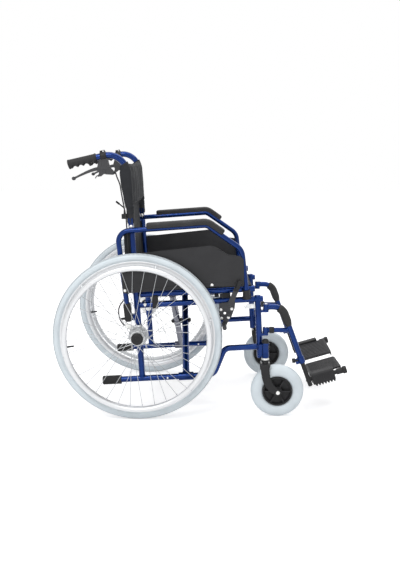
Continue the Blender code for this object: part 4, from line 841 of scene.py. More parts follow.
@pair("silver_alloy", "wheel", "handrim", angle=30)
def handrim_stays(shape):
    face = WHEEL_HALF + RIM_WIDTH / 2
    rim_r = RIM_OUTER - 0.0062
    for k in range(6):
        angle = 2 * pi * (k + 0.25) / 6
        foot = on_wheel(rim_r, angle, face)
        elbow = on_wheel(rim_r, angle, face + 0.013)
        head = on_wheel(HANDRIM_R + 0.003, angle, HANDRIM_HALF - 0.003)
        shape.tube([foot, elbow, head], 0.0036, (0, 0.009, 0), sides=16)
        shape.rod(foot, along(foot, elbow, 0.0022), 0.0058, sides=6)


# Casters and their forks.

CASTER_HUB_R = 0.0535
FORK_GAP = 0.0265
FORK_T = 0.0052


@pair("grey_caster", "caster", "caster_tyre")
def caster_tyre(shape):
    """A plump solid tyre with a fine mould line round its middle."""
    profile = []
    inner = CASTER_HUB_R - 0.001
    for k, angle in enumerate(circle(28)):
        rise = squared(cos(angle), 0.86)
        side = squared(sin(angle), 0.86)
        reach = (CASTER_R + inner) / 2 + (CASTER_R - inner) / 2 * rise
        if k == 0:
            reach -= 0.0005
        profile.append((reach, 0.0228 * side))
    round_ring(shape, profile, CASTER_HALF, 96, CASTER_X, CASTER_R)


@pair("black_plastic", "caster", "caster_hub", edge=0.0004)
def caster_hub(shape):
    """The moulded wheel: a lipped ring, a dished web and six ribs on each face, and the boss."""
    ring = [
        (CASTER_HUB_R, 0.015),
        (CASTER_HUB_R + 0.0008, 0.0178),
        (CASTER_HUB_R - 0.001, 0.019),
        (CASTER_HUB_R - 0.004, 0.0186),
        (CASTER_HUB_R - 0.0062, 0.016),
        (CASTER_HUB_R - 0.0075, 0.006),
        (0.018, 0.0035),
    ]
    round_ring(shape, both_sides(ring), CASTER_HALF, 72, CASTER_X, CASTER_R)
    for face in (1, -1):
        boss = mm((18.2, 0), (17.2, 19), (16.2, 20.5), (11.8, 21), (11.2, 19.6))
        start = at(CASTER_X, CASTER_R, CASTER_HALF)
        shape.lathe(boss, start, start + Vector((0, -face, 0)), 36)
        for angle in circle(6):
            turn = Matrix.Translation(start) @ Matrix.Rotation(-angle, 4, "Y")
            low, high = sorted((-face * 0.002, -face * 0.0165))
            shape.block((0.0165, low, -0.0016), (CASTER_HUB_R - 0.005, high, 0.0016), turn)
            low, high = sorted((-face * 0.0155, -face * 0.0178))
            shape.block((0.0165, low, -0.0024), (CASTER_HUB_R - 0.006, high, 0.0024), turn)


@pair("chrome", "caster", "caster_hub", angle=30)
def caster_bearings(shape):
    for face in (1, -1):
        start = at(CASTER_X, CASTER_R, CASTER_HALF + face * 0.0194)
        profile = mm((10.8, 0), (10.8, 1.6), (8.6, 1.8), (8.2, 1), (6.6, 1), (6.2, 3.2))
        shape.lathe(profile, start, start + Vector((0, -face, 0)), 32)


def soft_section(centre, across, half_wide, up, half_high, corner):
    """The points of a rectangle with round corners, square to a path."""
    points = []
    for sx, sy, start in ((1, 1, 0), (-1, 1, 90), (-1, -1, 180), (1, -1, 270)):
        for k in range(4):
            angle = radians(start + 30 * k)
            x = sx * (half_wide - corner) + corner * cos(angle)
            y = sy * (half_high - corner) + corner * sin(angle)
            points.append(centre + across * x + up * y)
    return points


@pair("black_plastic", "swivel", "caster_fork", edge=0.0008)
def caster_fork(shape):
    """Two curved arms under a crown, with the stem's collar."""
    line = [
        at(SWIVEL_X - 0.001, 0.2, 0),
        at(SWIVEL_X - 0.001, 0.178, 0),
        at(SWIVEL_X + 0.0035, 0.15, 0),
        at(SWIVEL_X + 0.015, 0.124, 0),
        at(SWIVEL_X + 0.031, 0.106, 0),
        at(CASTER_X, CASTER_R, 0),
    ]
    path = smooth(line, 6)
    for side in (1, -1):
        out = CASTER_HALF + side * (FORK_GAP + FORK_T / 2)
        loops = []
        for i, point in enumerate(path):
            share = i / (len(path) - 1)
            way = way_at(path, i)
            across = Vector((way.z, 0, -way.x))
            half = 0.0165 - 0.004 * share
            centre = point + Vector((0, -out, 0))
            loops.append(soft_section(centre, across, half, INWARD, FORK_T / 2, 0.0018))
        shape.rings(loops)
        inner, outer = sorted((out - FORK_T / 2 - 0.0006, out + FORK_T / 2 + 0.0006))
        shape.pin(CASTER_X, CASTER_R, inner, outer, 0.0132, sides=36, soft=0.0012)
    crown = 0.202
    wide = FORK_GAP + FORK_T + 0.0004
    shape.level(
        (SWIVEL_X - 0.0165, SWIVEL_X + 0.0165), (crown - 0.0062, crown),
        (CASTER_HALF - wide, CASTER_HALF + wide),
    )
    stem = at(SWIVEL_X, crown - 0.001, CASTER_HALF)
    up = stem + UP
    collar = mm((16, 0), (16, 3), (14, 4.6), (12.5, 7), (12.5, 13), (9, 13.2))
    shape.lathe(collar, stem, up, 40)


@pair("zinc_bolt", "swivel", "caster_fork", angle=30)
def caster_bolts(shape):
    """The wheel's bolt and nut, and the bearing ring with its nuts above the crown."""
    face = FORK_GAP + FORK_T + 0.0006
    outer = at(CASTER_X, CASTER_R, CASTER_HALF + face)
    inner = at(CASTER_X, CASTER_R, CASTER_HALF - face)
    dome = mm((7.8, 0), (7.8, 1.2), (6.6, 3.4), (4, 4.4), (0.6, 4.6))
    shape.lathe(dome, outer, outer + OUTWARD, 32)
    shape.lathe([(0.0095, 0), (0.0095, 0.0009)], inner, inner + INWARD, 32)
    shape.lathe(mm((8, 0), (8, 4.4), (7, 5)), inner, inner + INWARD, 6)
    shape.pin(CASTER_X, CASTER_R, CASTER_HALF - 0.024, CASTER_HALF + 0.024, 0.0048)
    ring = at(SWIVEL_X, 0.214, CASTER_HALF)
    up = ring + UP
    shape.lathe(mm((13.5, 0), (14.6, 1), (14.6, 3.4), (13.5, 4.2), (13.5, 7)), ring, up, 40)
    for angle in (radians(k) for k in (20, 160, 200, 340)):
        foot = at(SWIVEL_X + 0.0125 * cos(angle), 0.2012, CASTER_HALF + 0.021 * sin(angle))
        shape.rod(foot, foot + UP * 0.004, 0.0042, sides=6)


# Side frames.

SADDLES = [(0.057, 0.078, 0.014), (0.312, 0.342, 0.004)]
SADDLE_FOOT_W = 0.0935
RAIL_SHOWN_W = SEAT_RAIL_W - 0.0015
RAIL_SHOWN_R = 0.0118
RAIL_RIVETS = (0.0945, 0.204)
RAIL_PIN_W = SEAT_RAIL_W - 0.0195
CROSS_A_U = 0.163
CROSS_B_U = 0.13
BAR_R = 0.0127
SLEEVE_R = 0.0152
HOUSING_FOOT_Z = 0.222
HOUSING_TOP_Z = 0.277
LEG_PIVOT_X = 0.464
UPPER_EYE_Z = 0.406
LOWER_EYE_Z = 0.319
EYE_R = 0.0105
LATCH_PIVOT = (0.4135, 0.4095)
ARM_PIVOT = (-0.034, 0.369)
ARM_HALF = 0.252
ARM_R = 0.0095


@pair("blue_paint", "frame", "side_frame")
def frame_tubes(shape):
    rail = [
        frame_at(-0.135, LOWER_RAIL_W),
        frame_at(0.265, LOWER_RAIL_W),
        frame_at(0.311, -0.073),
        frame_at(0.44, -0.073),
    ]
    shape.tube(rail, TUBE_R, (0, 0.035, 0.03, 0))
    shape.rod(frame_at(0, LOWER_RAIL_W), frame_at(0, 0.3755), CANE_R, soft=0.0015)
    shape.rod(frame_at(0, TOP_RAIL_W), frame_at(0.46, TOP_RAIL_W), TUBE_R, soft=0.003)
    shape.rod(frame_at(0.44, -0.115), frame_at(0.44, 0.1205), CANE_R, soft=0.003)
    shape.rod(frame_at(0, -0.03), frame_at(0, 0.03), CANE_R + 0.0016, soft=0.0012)


@pair("blue_paint", "frame", "side_frame", edge=0.001)
def frame_brackets(shape):
    """The welded brackets: hinge tongue, axle sleeve, bearing tube, armrest block and pin shelves."""
    tongue = mm((-8.5, 371), (8.5, 371), (8.5, 403.5), (-8.5, 403.5))
    shape.slab(tongue, FRAME_HALF - 0.006, FRAME_HALF + 0.006, (0, 0, 0.008, 0.008), frame_at)
    shape.rod(frame_at(0, 0.371), frame_at(0, 0.379), CANE_R + 0.0006, 0.0095)
    shape.pin(0, WHEEL_R, FRAME_HALF - 0.0158, FRAME_HALF + 0.0188, 0.015, sides=32, soft=0.001)
    housing = at(SWIVEL_X, HOUSING_FOOT_Z, CASTER_HALF)
    up = housing + UP
    tall = HOUSING_TOP_Z - HOUSING_FOOT_Z
    profile = [(0.0118, 0), (0.014, 0.001), (0.014, 0.0075), (0.0134, 0.0085), (0.0134, tall - 0.0085)]
    profile += [(0.014, tall - 0.0075), (0.014, tall - 0.0012), (0.0128, tall)]
    shape.lathe(profile, housing, up, 36)
    shape.level((0.4385, 0.4585), (0.226, 0.271), (FRAME_HALF - 0.006, CASTER_HALF + 0.004))
    x, z = ARM_PIVOT
    shape.level((x - 0.011, x + 0.024), (z - 0.011, z + 0.011), (FRAME_HALF - 0.004, FRAME_HALF + 0.0145))
    for eye_z in (UPPER_EYE_Z, LOWER_EYE_Z):
        top = eye_z - 0.0113
        nose = both_sides([(LEG_PIVOT_X + reach, -0.008) for reach in (-0.026, 0, 0.0105)])
        radii = (0, 0, 0.008, 0.008, 0, 0)
        shape.slab(nose, top - 0.008, top, radii, lambda across, wide, up: at(across, up, FRAME_HALF + wide))


@pair("blue_paint", "frame", "side_frame", angle=60)
def frame_welds(shape):
    """The rippled weld rings where the tubes meet."""
    joints = [
        (frame_at(0, LOWER_RAIL_W + TUBE_R * 0.9), UPWARD, CANE_R),
        (frame_at(CANE_R * 0.86, TOP_RAIL_W), AHEAD, TUBE_R),
        (frame_at(0.44 - CANE_R * 0.86, TOP_RAIL_W), AHEAD, TUBE_R),
        (frame_at(0.44 - CANE_R * 0.86, -0.073), AHEAD, TUBE_R),
        (frame_at(0, -0.03), UPWARD, CANE_R + 0.0006),
        (frame_at(0, 0.03), UPWARD, CANE_R + 0.0006),
    ]
    for centre, axis, radius in joints:
        shape.bead(centre, axis, radius + 0.0009, 0.002)
    for z in (0.228, 0.269):
        for x in (0.4388, 0.4582):
            shape.sweep([at(x, z, 0.2385), at(x, z + 0.001, 0.242)], 0.0018, 8)


@pair("zinc_bolt", "frame", "side_frame", edge=0.0004, angle=30)
def brake_anchor(shape):
    """The steel backing disc of the drum brake, with its arm for the cable and the cable's clip."""
    inner = FRAME_HALF + 0.0187
    centre = at(0, WHEEL_R, inner)
    profile = mm((35.5, 0), (36, 0.6), (36, 2.2), (33.8, 2.9), (23, 2.9), (21.4, 1.6))
    shape.lathe(profile, centre, centre + OUTWARD, 48)
    arm = mm((-47, 338), (-34, 348), (-10, 335), (-26, 318))
    shape.slab(arm, inner, inner + 0.0026, (0.003, 0.006, 0.006, 0.003))
    shape.level((-0.0465, -0.0375), (0.3365, 0.3455), (inner - 0.0055, inner + 0.0006))
    for k in range(4):
        angle = radians(40 + 90 * k)
        shape.bolt(0.02 * cos(angle), WHEEL_R + 0.02 * sin(angle), inner - 0.0014, 0.0024, 0.001, sides=6)


@pair("zinc_bolt", "frame", "side_frame", angle=30)
def frame_bolts(shape):
    """Bolts, pins and the stud of the latch."""
    shape.bolt(0.024, 0.415, FRAME_HALF + TUBE_R - 0.001, 0.0045, 0.0026)
    x, z = ARM_PIVOT
    shape.pin(x, z, FRAME_HALF + 0.012, ARM_HALF + ARM_R, 0.005)
    for eye_z in (UPPER_EYE_Z, LOWER_EYE_Z):
        foot = at(LEG_PIVOT_X, eye_z - 0.0125, FRAME_HALF)
        shape.rod(foot, at(LEG_PIVOT_X, eye_z + 0.013, FRAME_HALF), 0.0047, soft=0.0016)
    shape.pin(*LATCH_PIVOT, FRAME_HALF, FRAME_HALF + 0.0085, 0.003)
    shape.bolt(*LATCH_PIVOT, FRAME_HALF + 0.0082, 0.0042, 0.0016, sides=6)
    for u in RAIL_RIVETS:
        start = frame_at(u, LOWER_RAIL_W, FRAME_HALF - TUBE_R - 0.0014)
        shape.rod(start, frame_at(u, LOWER_RAIL_W, FRAME_HALF + TUBE_R + 0.0014), 0.0034, soft=0.001)


@pair("silver_alloy", "frame", "side_frame", edge=0.0006)
def latch_ear(shape):
    outline = mm((405.5, 401.5), (429.5, 401.5), (429.5, 416.5), (405.5, 416.5))
    shape.slab(outline, FRAME_HALF - 0.004, FRAME_HALF + 0.0042, (0.004, 0, 0, 0.004))


@pair("black_plastic", "frame", "side_frame", edge=0.0004)
def saddles(shape):
    """The plastic rests that the seat rails drop into, open upward."""
    lip = radians(24)
    for start, end, outward in SADDLES:
        brim = RAIL_SHOWN_W - RAIL_SHOWN_R * sin(lip)
        section = [(-0.014, SADDLE_FOOT_W), (0.014, SADDLE_FOOT_W), (0.014, brim)]
        steps = 12
        for k in range(steps + 1):
            angle = -lip - (pi - 2 * lip) * k / steps
            section.append((RAIL_SHOWN_R * cos(angle), RAIL_SHOWN_W + RAIL_SHOWN_R * sin(angle)))
        section.append((-0.014, brim))
        loops = []
        for u in (start, start + 0.0012, end - 0.0012, end):
            inset = 0.0008 if u in (start, end) else 0.0
            loop = []
            for wide, w in section:
                out = min(wide * (1 - inset * 40), outward)
                loop.append(frame_at(u, max(w, SADDLE_FOOT_W + inset), FRAME_HALF + out))
            loops.append(loop)
        shape.rings(loops)


@pair("black_rubber", "frame", "tip_plug", angle=30)
def tip_plug(shape):
    """The ribbed rubber tip that a foot presses to tilt the chair."""
    start = frame_at(-0.147, LOWER_RAIL_W)
    mouth = frame_at(-0.078, LOWER_RAIL_W)
    profile = mm((13.8, 0), (15.8, 1.1), (16.6, 3.4))
    ribs = 13
    for k in range(ribs):
        foot = 0.0068 + 0.0043 * k
        profile += [(0.0166, foot), (0.0157, foot + 0.0008), (0.0157, foot + 0.0019), (0.0166, foot + 0.0027)]
    profile += mm((16.6, 65), (16.8, 65.8), (16.8, 68.5), (15.2, 69))
    shape.lathe(profile, start, mouth, 40)


@pair("black_plastic", "frame", "side_frame")
def caster_cap(shape):
    foot = at(SWIVEL_X, HOUSING_TOP_Z - 0.0008, CASTER_HALF)
    profile = mm((12.8, 0), (13.2, 1.2), (13.2, 6))
    steps = 8
    for k in range(steps + 1):
        turn = pi / 2 * k / steps
        profile.append((0.0006 + 0.0124 * cos(turn), 0.0068 + 0.0094 * sin(turn)))
    shape.lathe(profile, foot, foot + UP, 40)


# Cross brace.


def cross_bar_look(bar_u, foot_out, top_out):
    """A bar of the X with its sleeve round the lower rail."""
    foot = frame_at(bar_u, LOWER_RAIL_W, foot_out)
    top = frame_at(bar_u, SEAT_RAIL_W, top_out)
    shape = Shape()
    shape.rod(along(foot, top, 0.004), along(top, foot, 0.008), BAR_R)
    start = frame_at(bar_u - 0.028, LOWER_RAIL_W, foot_out)
    shape.rod(start, frame_at(bar_u + 0.028, LOWER_RAIL_W, foot_out), SLEEVE_R, soft=0.0014, sides=32)
    way = (top - foot).normalized()
    shape.bead(foot + way * 0.0146, way, BAR_R + 0.001, 0.0021)
    shape.bead(top - way * 0.016, way, BAR_R + 0.0004, 0.002)
    for distance in (-0.02, 0.02):
        shape.bead((foot + top) / 2 + way * distance, way, BAR_R, 0.001)
    return shape


def seat_rail(side, out, body):
    """A seat rail with the lug under it, the plain pin in the lug, and the ringed cap on the pin."""
    ends = [frame_at(u, RAIL_SHOWN_W, out) for u in (0.0135, 0.432)]
    rail = Shape().rod(*ends, RAIL_SHOWN_R, soft=0.003)
    start, end, foot = 0.2365, 0.2455, RAIL_PIN_W - 0.005
    lug = [(start, foot), (end, foot), (end, RAIL_SHOWN_W), (start, RAIL_SHOWN_W)]
    rail.slab(lug, out - 0.004, out + 0.004, (0.003, 0.003, 0, 0), frame_at)
    single(f"{side}_seat_rail", rail, "blue_paint", body)
    ends = [frame_at(u, RAIL_PIN_W, out) for u in (0.2345, 0.2885)]
    single(f"{side}_rail_pin", Shape().rod(*ends, 0.0054, soft=0.001), "silver_alloy", body)
    profile = mm((5.4, 0), (5.9, 0.6), (5.9, 3.6), (5.4, 4), (5.4, 5), (5.9, 5.4))
    profile += mm((5.9, 12), (5, 13.6), (0.8, 13.8))
    ends = [frame_at(u, RAIL_PIN_W, out) for u in (0.2845, 1)]
    single(f"{side}_pin_end", Shape().lathe(profile, *ends, 28), "black_plastic", body)


def cross_pivot_look():
    """The through bolt, the spacer washers between the bars and a domed nut at each end."""
    middle = (LOWER_RAIL_W + SEAT_RAIL_W) / 2
    low = CROSS_B_U - BAR_R - 0.0003
    high = CROSS_A_U + BAR_R + 0.0003
    shape = Shape()
    shape.rod(frame_at(low, middle, 0), frame_at(high, middle, 0), 0.0049)
    spacer = [frame_at(u, middle, 0) for u in (CROSS_B_U + BAR_R + 0.0004, CROSS_A_U - BAR_R - 0.0004)]
    shape.rod(*spacer, 0.0108)
    for start, end in ((high, high + 1), (low, low - 1)):
        foot = frame_at(start, middle, 0)
        head = frame_at(end, middle, 0)
        shape.lathe(mm((10.8, 0), (10.8, 1.2), (10, 1.6)), foot, head, 32)
        shape.lathe(mm((8.6, 1.4), (8.6, 5.8), (7.4, 6.6)), foot, head, 6)
        shape.lathe(mm((6.8, 6), (6.4, 7.8), (4.6, 9.4), (1, 10)), foot, head, 24)
    return shape


# Painted light: bar b takes the lighter, greyer copy of the blue paint.
for name, bar_u, out, finish, body in (
    ("cross_bar_a", CROSS_A_U, FRAME_HALF, "blue_paint", "brace_a"),
    ("cross_bar_b", CROSS_B_U, -FRAME_HALF, "grey_paint", "brace_b"),
):
    single(name, cross_bar_look(bar_u, out, -out), finish, body, [name])
single("cross_pivot", cross_pivot_look(), "black_plastic", "brace_a", ["cross_pivot"], angle=30)
seat_rail("right", FRAME_HALF, "brace_b")
seat_rail("left", -FRAME_HALF, "brace_a")


# Legrests.

HANGER_R = 0.0105
LEG_SLANT = radians(20.6)
LEG_KNEE_X = 0.5225
HANGER_END_Z = 0.196
FOOT_TUBE_R = 0.0082
PLATE_PIVOT_Z = 0.1256
PLATE_TILT = radians(16.5)
PLATE_HALF = 0.2135
PLATE_LEAN = Matrix.Rotation(radians(-4), 4, "X")


def leg_line(z, out=FRAME_HALF):
    """The point of the leg's slanted line at that height."""
    return at(LEG_KNEE_X + (UPPER_EYE_Z - z) * math.tan(LEG_SLANT), z, out)


LEG_DOWN = (leg_line(0) - leg_line(1)).normalized()


def hanger_path():
    knee = at(LEG_KNEE_X, UPPER_EYE_Z, FRAME_HALF)
    return rounded([at(0.46925, UPPER_EYE_Z, FRAME_HALF), knee, leg_line(HANGER_END_Z)], (0, 0.045, 0))


@pair("blue_paint", "leg", "hanger")
def hanger(shape):
    shape.sweep(hanger_path(), HANGER_R)
    for eye_z in (UPPER_EYE_Z, LOWER_EYE_Z):
        foot = at(LEG_PIVOT_X, eye_z - 0.011, FRAME_HALF)
        profile = [(0.0052, 0), (0.0096, 0), (EYE_R, 0.001), (EYE_R, 0.021), (0.0096, 0.022), (0.0052, 0.022)]
        shape.lathe(profile, foot, foot + UP, 32, closed=True)
    start = at(0.4705, LOWER_EYE_Z, FRAME_HALF)
    end = leg_line(LOWER_EYE_Z)
    shape.rod(start, along(end, start, 0.004), 0.0088)
    for centre, axis, radius in (
        (along(end, start, 0.011), FORWARD, 0.0088),
        (start + FORWARD * 0.004, FORWARD, 0.0088),
        (at(LEG_PIVOT_X + 0.0108, UPPER_EYE_Z, FRAME_HALF), FORWARD, 0.0096),
    ):
        shape.bead(centre, axis, radius + 0.0006, 0.0018)


@pair("blue_paint", "leg", "hanger", edge=0.0005)
def leg_clamp(shape):
    """The split clamp that holds the foot tube at its height."""
    clamp = leg_line(HANGER_END_Z + 0.01)
    profile = mm((10.8, 0), (12.4, 0.8), (12.8, 2.2), (12.8, 24), (12.2, 25.6), (8.8, 26))
    shape.lathe(profile, clamp - LEG_DOWN * 0.014, clamp + LEG_DOWN * 0.1, 36)
    for side in (-0.0034, 0.0034):
        ear = Matrix.Translation(clamp + Vector((0, side, 0))) @ Matrix.Rotation(-LEG_SLANT, 4, "Y")
        shape.block((-0.0225, -0.0013, -0.0105), (-0.0105, 0.0013, 0.0095), ear)


@pair("black_plastic", "leg", "hanger", edge=0.0004)
def clamp_knob(shape):
    clamp = leg_line(HANGER_END_Z + 0.01)
    way = Vector((-1, 0, -0.12)).normalized()
    shape.rod(clamp + way * 0.012, clamp + way * 0.026, 0.0058, soft=0.001)
    start = clamp + way * 0.0225
    lobes = []
    for height, reach in ((0, 0.0072), (0.0012, 0.0084), (0.0095, 0.0084), (0.0115, 0.007), (0.0118, 0.004)):
        matrix = facing(start, start + way)
        loop = []
        for angle in circle(48):
            radius = reach * (1 + 0.05 * cos(6 * angle))
            loop.append(matrix @ Vector((radius * cos(angle), radius * sin(angle), height)))
        lobes.append(loop)
    shape.rings(lobes)


@pair("black_foam", "leg", "calf_pad")
def calf_pad(shape):
    """The foam sleeve over the hanger's bend, a little uneven, with rolled ends."""
    path = smooth(clipped(hanger_path(), 0.042, 0.121), 3)
    total = length_of(path)
    walked = 0.0
    radii = []
    for i, point in enumerate(path):
        if i:
            walked += (point - path[i - 1]).length
        edge = min(walked, total - walked)
        roll = round_off(edge, 0.0045)
        uneven = noise.noise(point * 60) * 0.0006
        radii.append(0.0112 + (0.0042 + uneven) * roll)
    shape.sweep(path, radii, 32)


@pair("black_plastic", "leg", "hanger", angle=30)
def strut_band(shape):
    start = at(0.46925, LOWER_EYE_Z, FRAME_HALF)
    ahead = start + FORWARD
    profile = mm((9.2, 8), (11.8, 8.6), (12.2, 10), (12.2, 24), (11.6, 25.6), (9.2, 26))
    shape.lathe(profile, start, ahead, 32)


def plate_place():
    """The footplate's hinge: x along the hinge, y towards the chair's middle, z up."""
    return Matrix.Translation(leg_line(PLATE_PIVOT_Z, PLATE_HALF)) @ Matrix.Rotation(-PLATE_TILT, 4, "Y")


def hinge_point(s):
    return plate_place() @ Vector((s, 0, 0))


def knob_reach():
    return (AXLE_X + FOOT_REACH - hinge_point(0).x) / cos(PLATE_TILT) - 0.014 * math.tan(PLATE_TILT)


@pair("black_plastic", "foot", "foot_tube")
def foot_tube(shape):
    top = leg_line(HANGER_END_Z) - LEG_DOWN * 0.09
    shape.rod(top, leg_line(0.106), FOOT_TUBE_R, soft=0.002)
    shape.rod(leg_line(PLATE_PIVOT_Z), leg_line(PLATE_PIVOT_Z, PLATE_HALF - 0.0082), FOOT_TUBE_R)
    shape.rod(hinge_point(-0.001), hinge_point(knob_reach() - 0.004), FOOT_TUBE_R)
    shape.bead(leg_line(PLATE_PIVOT_Z, FRAME_HALF - 0.0076), OUTWARD, FOOT_TUBE_R + 0.0002, 0.0016)


@pair("black_plastic", "foot", "foot_tube")
def foot_knob(shape):
    """The plastic stop on the hinge tube's front end, with its thicker rim."""
    tip = knob_reach()
    start = hinge_point(tip - 0.038)
    profile = mm((8.6, 0), (10.6, 0.6), (11, 2), (11, 22.5), (13.2, 24), (14, 25.8))
    profile += mm((14, 35.2), (13, 37.4), (10.5, 38), (5, 37.4))
    shape.lathe(profile, start, hinge_point(tip), 40)


@pair("dark_panel", "plate", "footplate", edge=0.0006)
def foot_tray(shape):
    """The moulded tray: a thin plate with raised ribs and rims, and stiffeners and a heel pad beneath."""
    place = plate_place() @ PLATE_LEAN
    low, high = 0.0084, 0.0143
    outline = mm((11.2, 16.5), (131, 16.5), (131, 179.5), (11.2, 179.5))
    shape.slab(outline, low, high, (0.002, 0.002, 0.012, 0.012), lambda s, y, z: place @ Vector((s, y, z)))
    for k in range(10):
        y = 0.0265 + 0.0152 * k
        shape.block((0.0195, y, high - 0.0005), (0.1225, y + 0.0062, 0.0156), place)
    for s in (0.0115, 0.1268):
        shape.block((s, 0.0175, 0.0082), (s + 0.0038, 0.169, 0.0156), place)
    shape.block((0.0152, 0.1752, 0.0082), (0.127, 0.179, 0.0156), place)
    shape.block((0.012, 0.0168, -0.0002), (0.0168, 0.1775, low + 0.001), place)
    shape.block((0.1252, 0.0168, -0.0002), (0.1302, 0.1775, low + 0.001), place)
    for k in range(7):
        y = 0.036 + 0.0215 * k
        shape.block((0.0165, y, 0.0022), (0.1256, y + 0.0022, low + 0.0005), place)
    heel = mm((17.8, -21.5), (90, -21.5), (91.5, 9), (17.8, 9))
    shape.slab(heel, 0.0123, 0.0161, (0.002, 0.014, 0.002, 0.002), lambda y, z, s: place @ Vector((s, y, z)))


@pair("black_plastic", "plate", "footplate", edge=0.0005)
def foot_housing(shape):
    """The clamp housing round the hinge tube, with the zigzag of its detent ring."""
    place = plate_place()
    section = rounded(
        mm((-18.3, -21.5, 0), (18.3, -21.5, 0), (18.3, 21.5, 0), (-18.3, 21.5, 0)),
        (0.006, 0.006, 0.004, 0.009),
        True,
    )
    loops = []
    for s, inset in ((0.0139, 0.0012), (0.0151, 0.0), (0.0973, 0.0), (0.0985, 0.0012)):
        scale = 1 - inset / 0.018
        loops.append([place @ Vector((s, p.x * scale, p.y * scale)) for p in section])
    shape.rings(loops)
    count = 7
    start = 0.0192
    pitch = (0.0985 - start) / count
    for k in range(count):
        foot = start + k * pitch
        tooth = [(foot + 0.0006, -0.02), (foot + pitch - 0.0006, -0.02)]
        tooth += [(foot + pitch / 2 + 0.0009, -0.0277), (foot + pitch / 2 - 0.0009, -0.0277)]
        shape.slab(tooth, -0.018, -0.01, 0.0006, lambda s, z, y: place @ Vector((s, y, z)))
    for k in range(3):
        s = 0.03 + 0.026 * k
        shape.block((s, -0.019, -0.012), (s + 0.012, -0.0176, 0.012), place)


@pair("silver_alloy", "latch", "legrest_latch", edge=0.0006)
def legrest_latch(shape):
    """The release lever of the legrest, bent outward at its rear end."""
    x, z = LATCH_PIVOT
    inner = FRAME_HALF + 0.0046
    outline = [(x - 0.028, z - 0.01), (x + 0.007, z - 0.007), (x + 0.007, z + 0.007), (x - 0.018, z + 0.009)]
    shape.slab(outline, inner, inner + 0.0032, 0.003, holes=[(x, z, 0.0034)])
    shape.level((x - 0.0285, x - 0.0253), (z - 0.0098, z + 0.003), (inner, inner + 0.0098))


# Armrests and side guards.

ARM_POINTS = (ARM_PIVOT, (-0.07, 0.684), (0.248, 0.707), (0.373, 0.62), (0.3935, 0.447))
ARM_BENDS = (0, 0.04, 0.03, 0.05, 0)
GUARD_INNER = 0.2618
GUARD_OUTER = 0.265


def arm_path():
    return rounded([at(x, z, ARM_HALF) for x, z in ARM_POINTS], ARM_BENDS, turn=radians(6))


@pair("blue_paint", "arm", "armrest_tube")
def armrest_tube(shape):
    path = arm_path()
    path[0] = along(path[0], path[1], 0.004)
    shape.sweep(path, ARM_R, 28)
    x, z = ARM_PIVOT
    profile = mm((5.4, 0), (11.2, 0), (12.5, 1.2), (12.5, 17.8), (11.2, 19), (5.4, 19))
    shape.lathe(profile, at(x, z, ARM_HALF - ARM_R), at(x, z, ARM_HALF + ARM_R), 32, closed=True)


def pad_section():
    """The arm pad's outline across the tube: (outward, up), with the groove for the tube."""
    shell = mm((-7.2, 6.8, 0), (-7.2, 24, 0), (32.2, 24, 0), (32.2, 3.6, 0), (9.6, 3.6, 0))
    outline = [(p.x, p.y) for p in rounded(shell, (0, 0.0062, 0.0095, 0.004, 0), turn=radians(18))]
    groove = []
    for degrees in (20, 40, 60, 80, 100, 120, 137):
        angle = radians(degrees)
        groove.append((0.0099 * cos(angle), 0.0099 * sin(angle)))
    return outline, groove


@pair("black_foam", "arm", "arm_pad")
def arm_pad(shape):
    """The moulded arm pad: it follows the tube, and its ends are rounded."""
    whole = arm_path()
    corners = [at(x, z, ARM_HALF) for x, z in ARM_POINTS]
    rear = corners[1].lerp(corners[2], 0.334)
    front = corners[2].lerp(corners[3], 0.415)
    distances = []
    for target in (rear, front):
        best, walked = None, 0.0
        for a, b in zip(whole, whole[1:]):
            step = (b - a).length
            share = max(0.0, min(1.0, (target - a).dot(b - a) / step**2))
            gap = (target - a.lerp(b, share)).length
            if best is None or gap < best[0]:
                best = (gap, walked + share * step)
            walked += step
        distances.append(best[1])
    start, end = distances
    shell, groove = pad_section()
    marks = [0, 0.0006, 0.0018, 0.0036, 0.006, 0.009]
    steps = 40
    inner = [0.009 + (end - start - 0.018) * k / steps for k in range(1, steps)]
    marks += inner + [end - start - mark for mark in reversed(marks)]
    loops = []
    for mark in marks:
        piece = clipped(whole, start + mark - 0.0004, start + mark + 0.0004)
        place = (piece[0] + piece[-1]) / 2
        way = (piece[-1] - piece[0]).normalized()
        up = OUTWARD.cross(way) * -1
        if up.z < 0:
            up = -up
        edge = min(mark, end - start - mark)
        roll = round_off(edge, 0.0092)
        scale = 0.66 + 0.34 * roll
        loop = []
        for side, high in shell:
            loop.append(
                place + OUTWARD * (0.0125 + (side - 0.0125) * scale) + up * (0.0118 + (high - 0.0118) * scale)
            )
        for side, high in groove:
            loop.append(place + OUTWARD * side + up * high)
        loops.append(loop)
    shape.rings(loops)


@pair("dark_panel", "arm", "side_guard", angle=30)
def side_guard(shape):
    """The clothes guard: a thin moulded sheet with a rolled rim and one long stiffening rib."""
    outline = mm(
        (-52, 462), (-62, 600), (270, 636), (324, 602), (367, 598), (380, 585), (382, 489), (267, 488)
    )
    radii = (0.006, 0.03, 0.05, 0.03, 0.01, 0.006, 0.006, 0.04)
    shape.slab(outline, GUARD_INNER + 0.0006, GUARD_OUTER - 0.0007, radii)
    rim = rounded([at(x, z, GUARD_OUTER - 0.0013) for x, z in outline], radii, True, radians(12))
    centre = at(0.16, 0.55, GUARD_OUTER - 0.0013)
    rim = [point + (centre - point).normalized() * 0.002 for point in rim]
    shape.sweep(rim, 0.0013, 10, closed=True)


@pair("dark_panel", "arm", "side_guard")
def guard_rib(shape):
    points = mm((10, 476), (225, 498.5), (268, 505), (360, 504))
    line = rounded([at(x, z, GUARD_OUTER - 0.0009) for x, z in points], (0, 0.05, 0.05, 0))
    shape.sweep(line, 0.0016, 10, oval=(1.4, 1.0), up=OUTWARD)


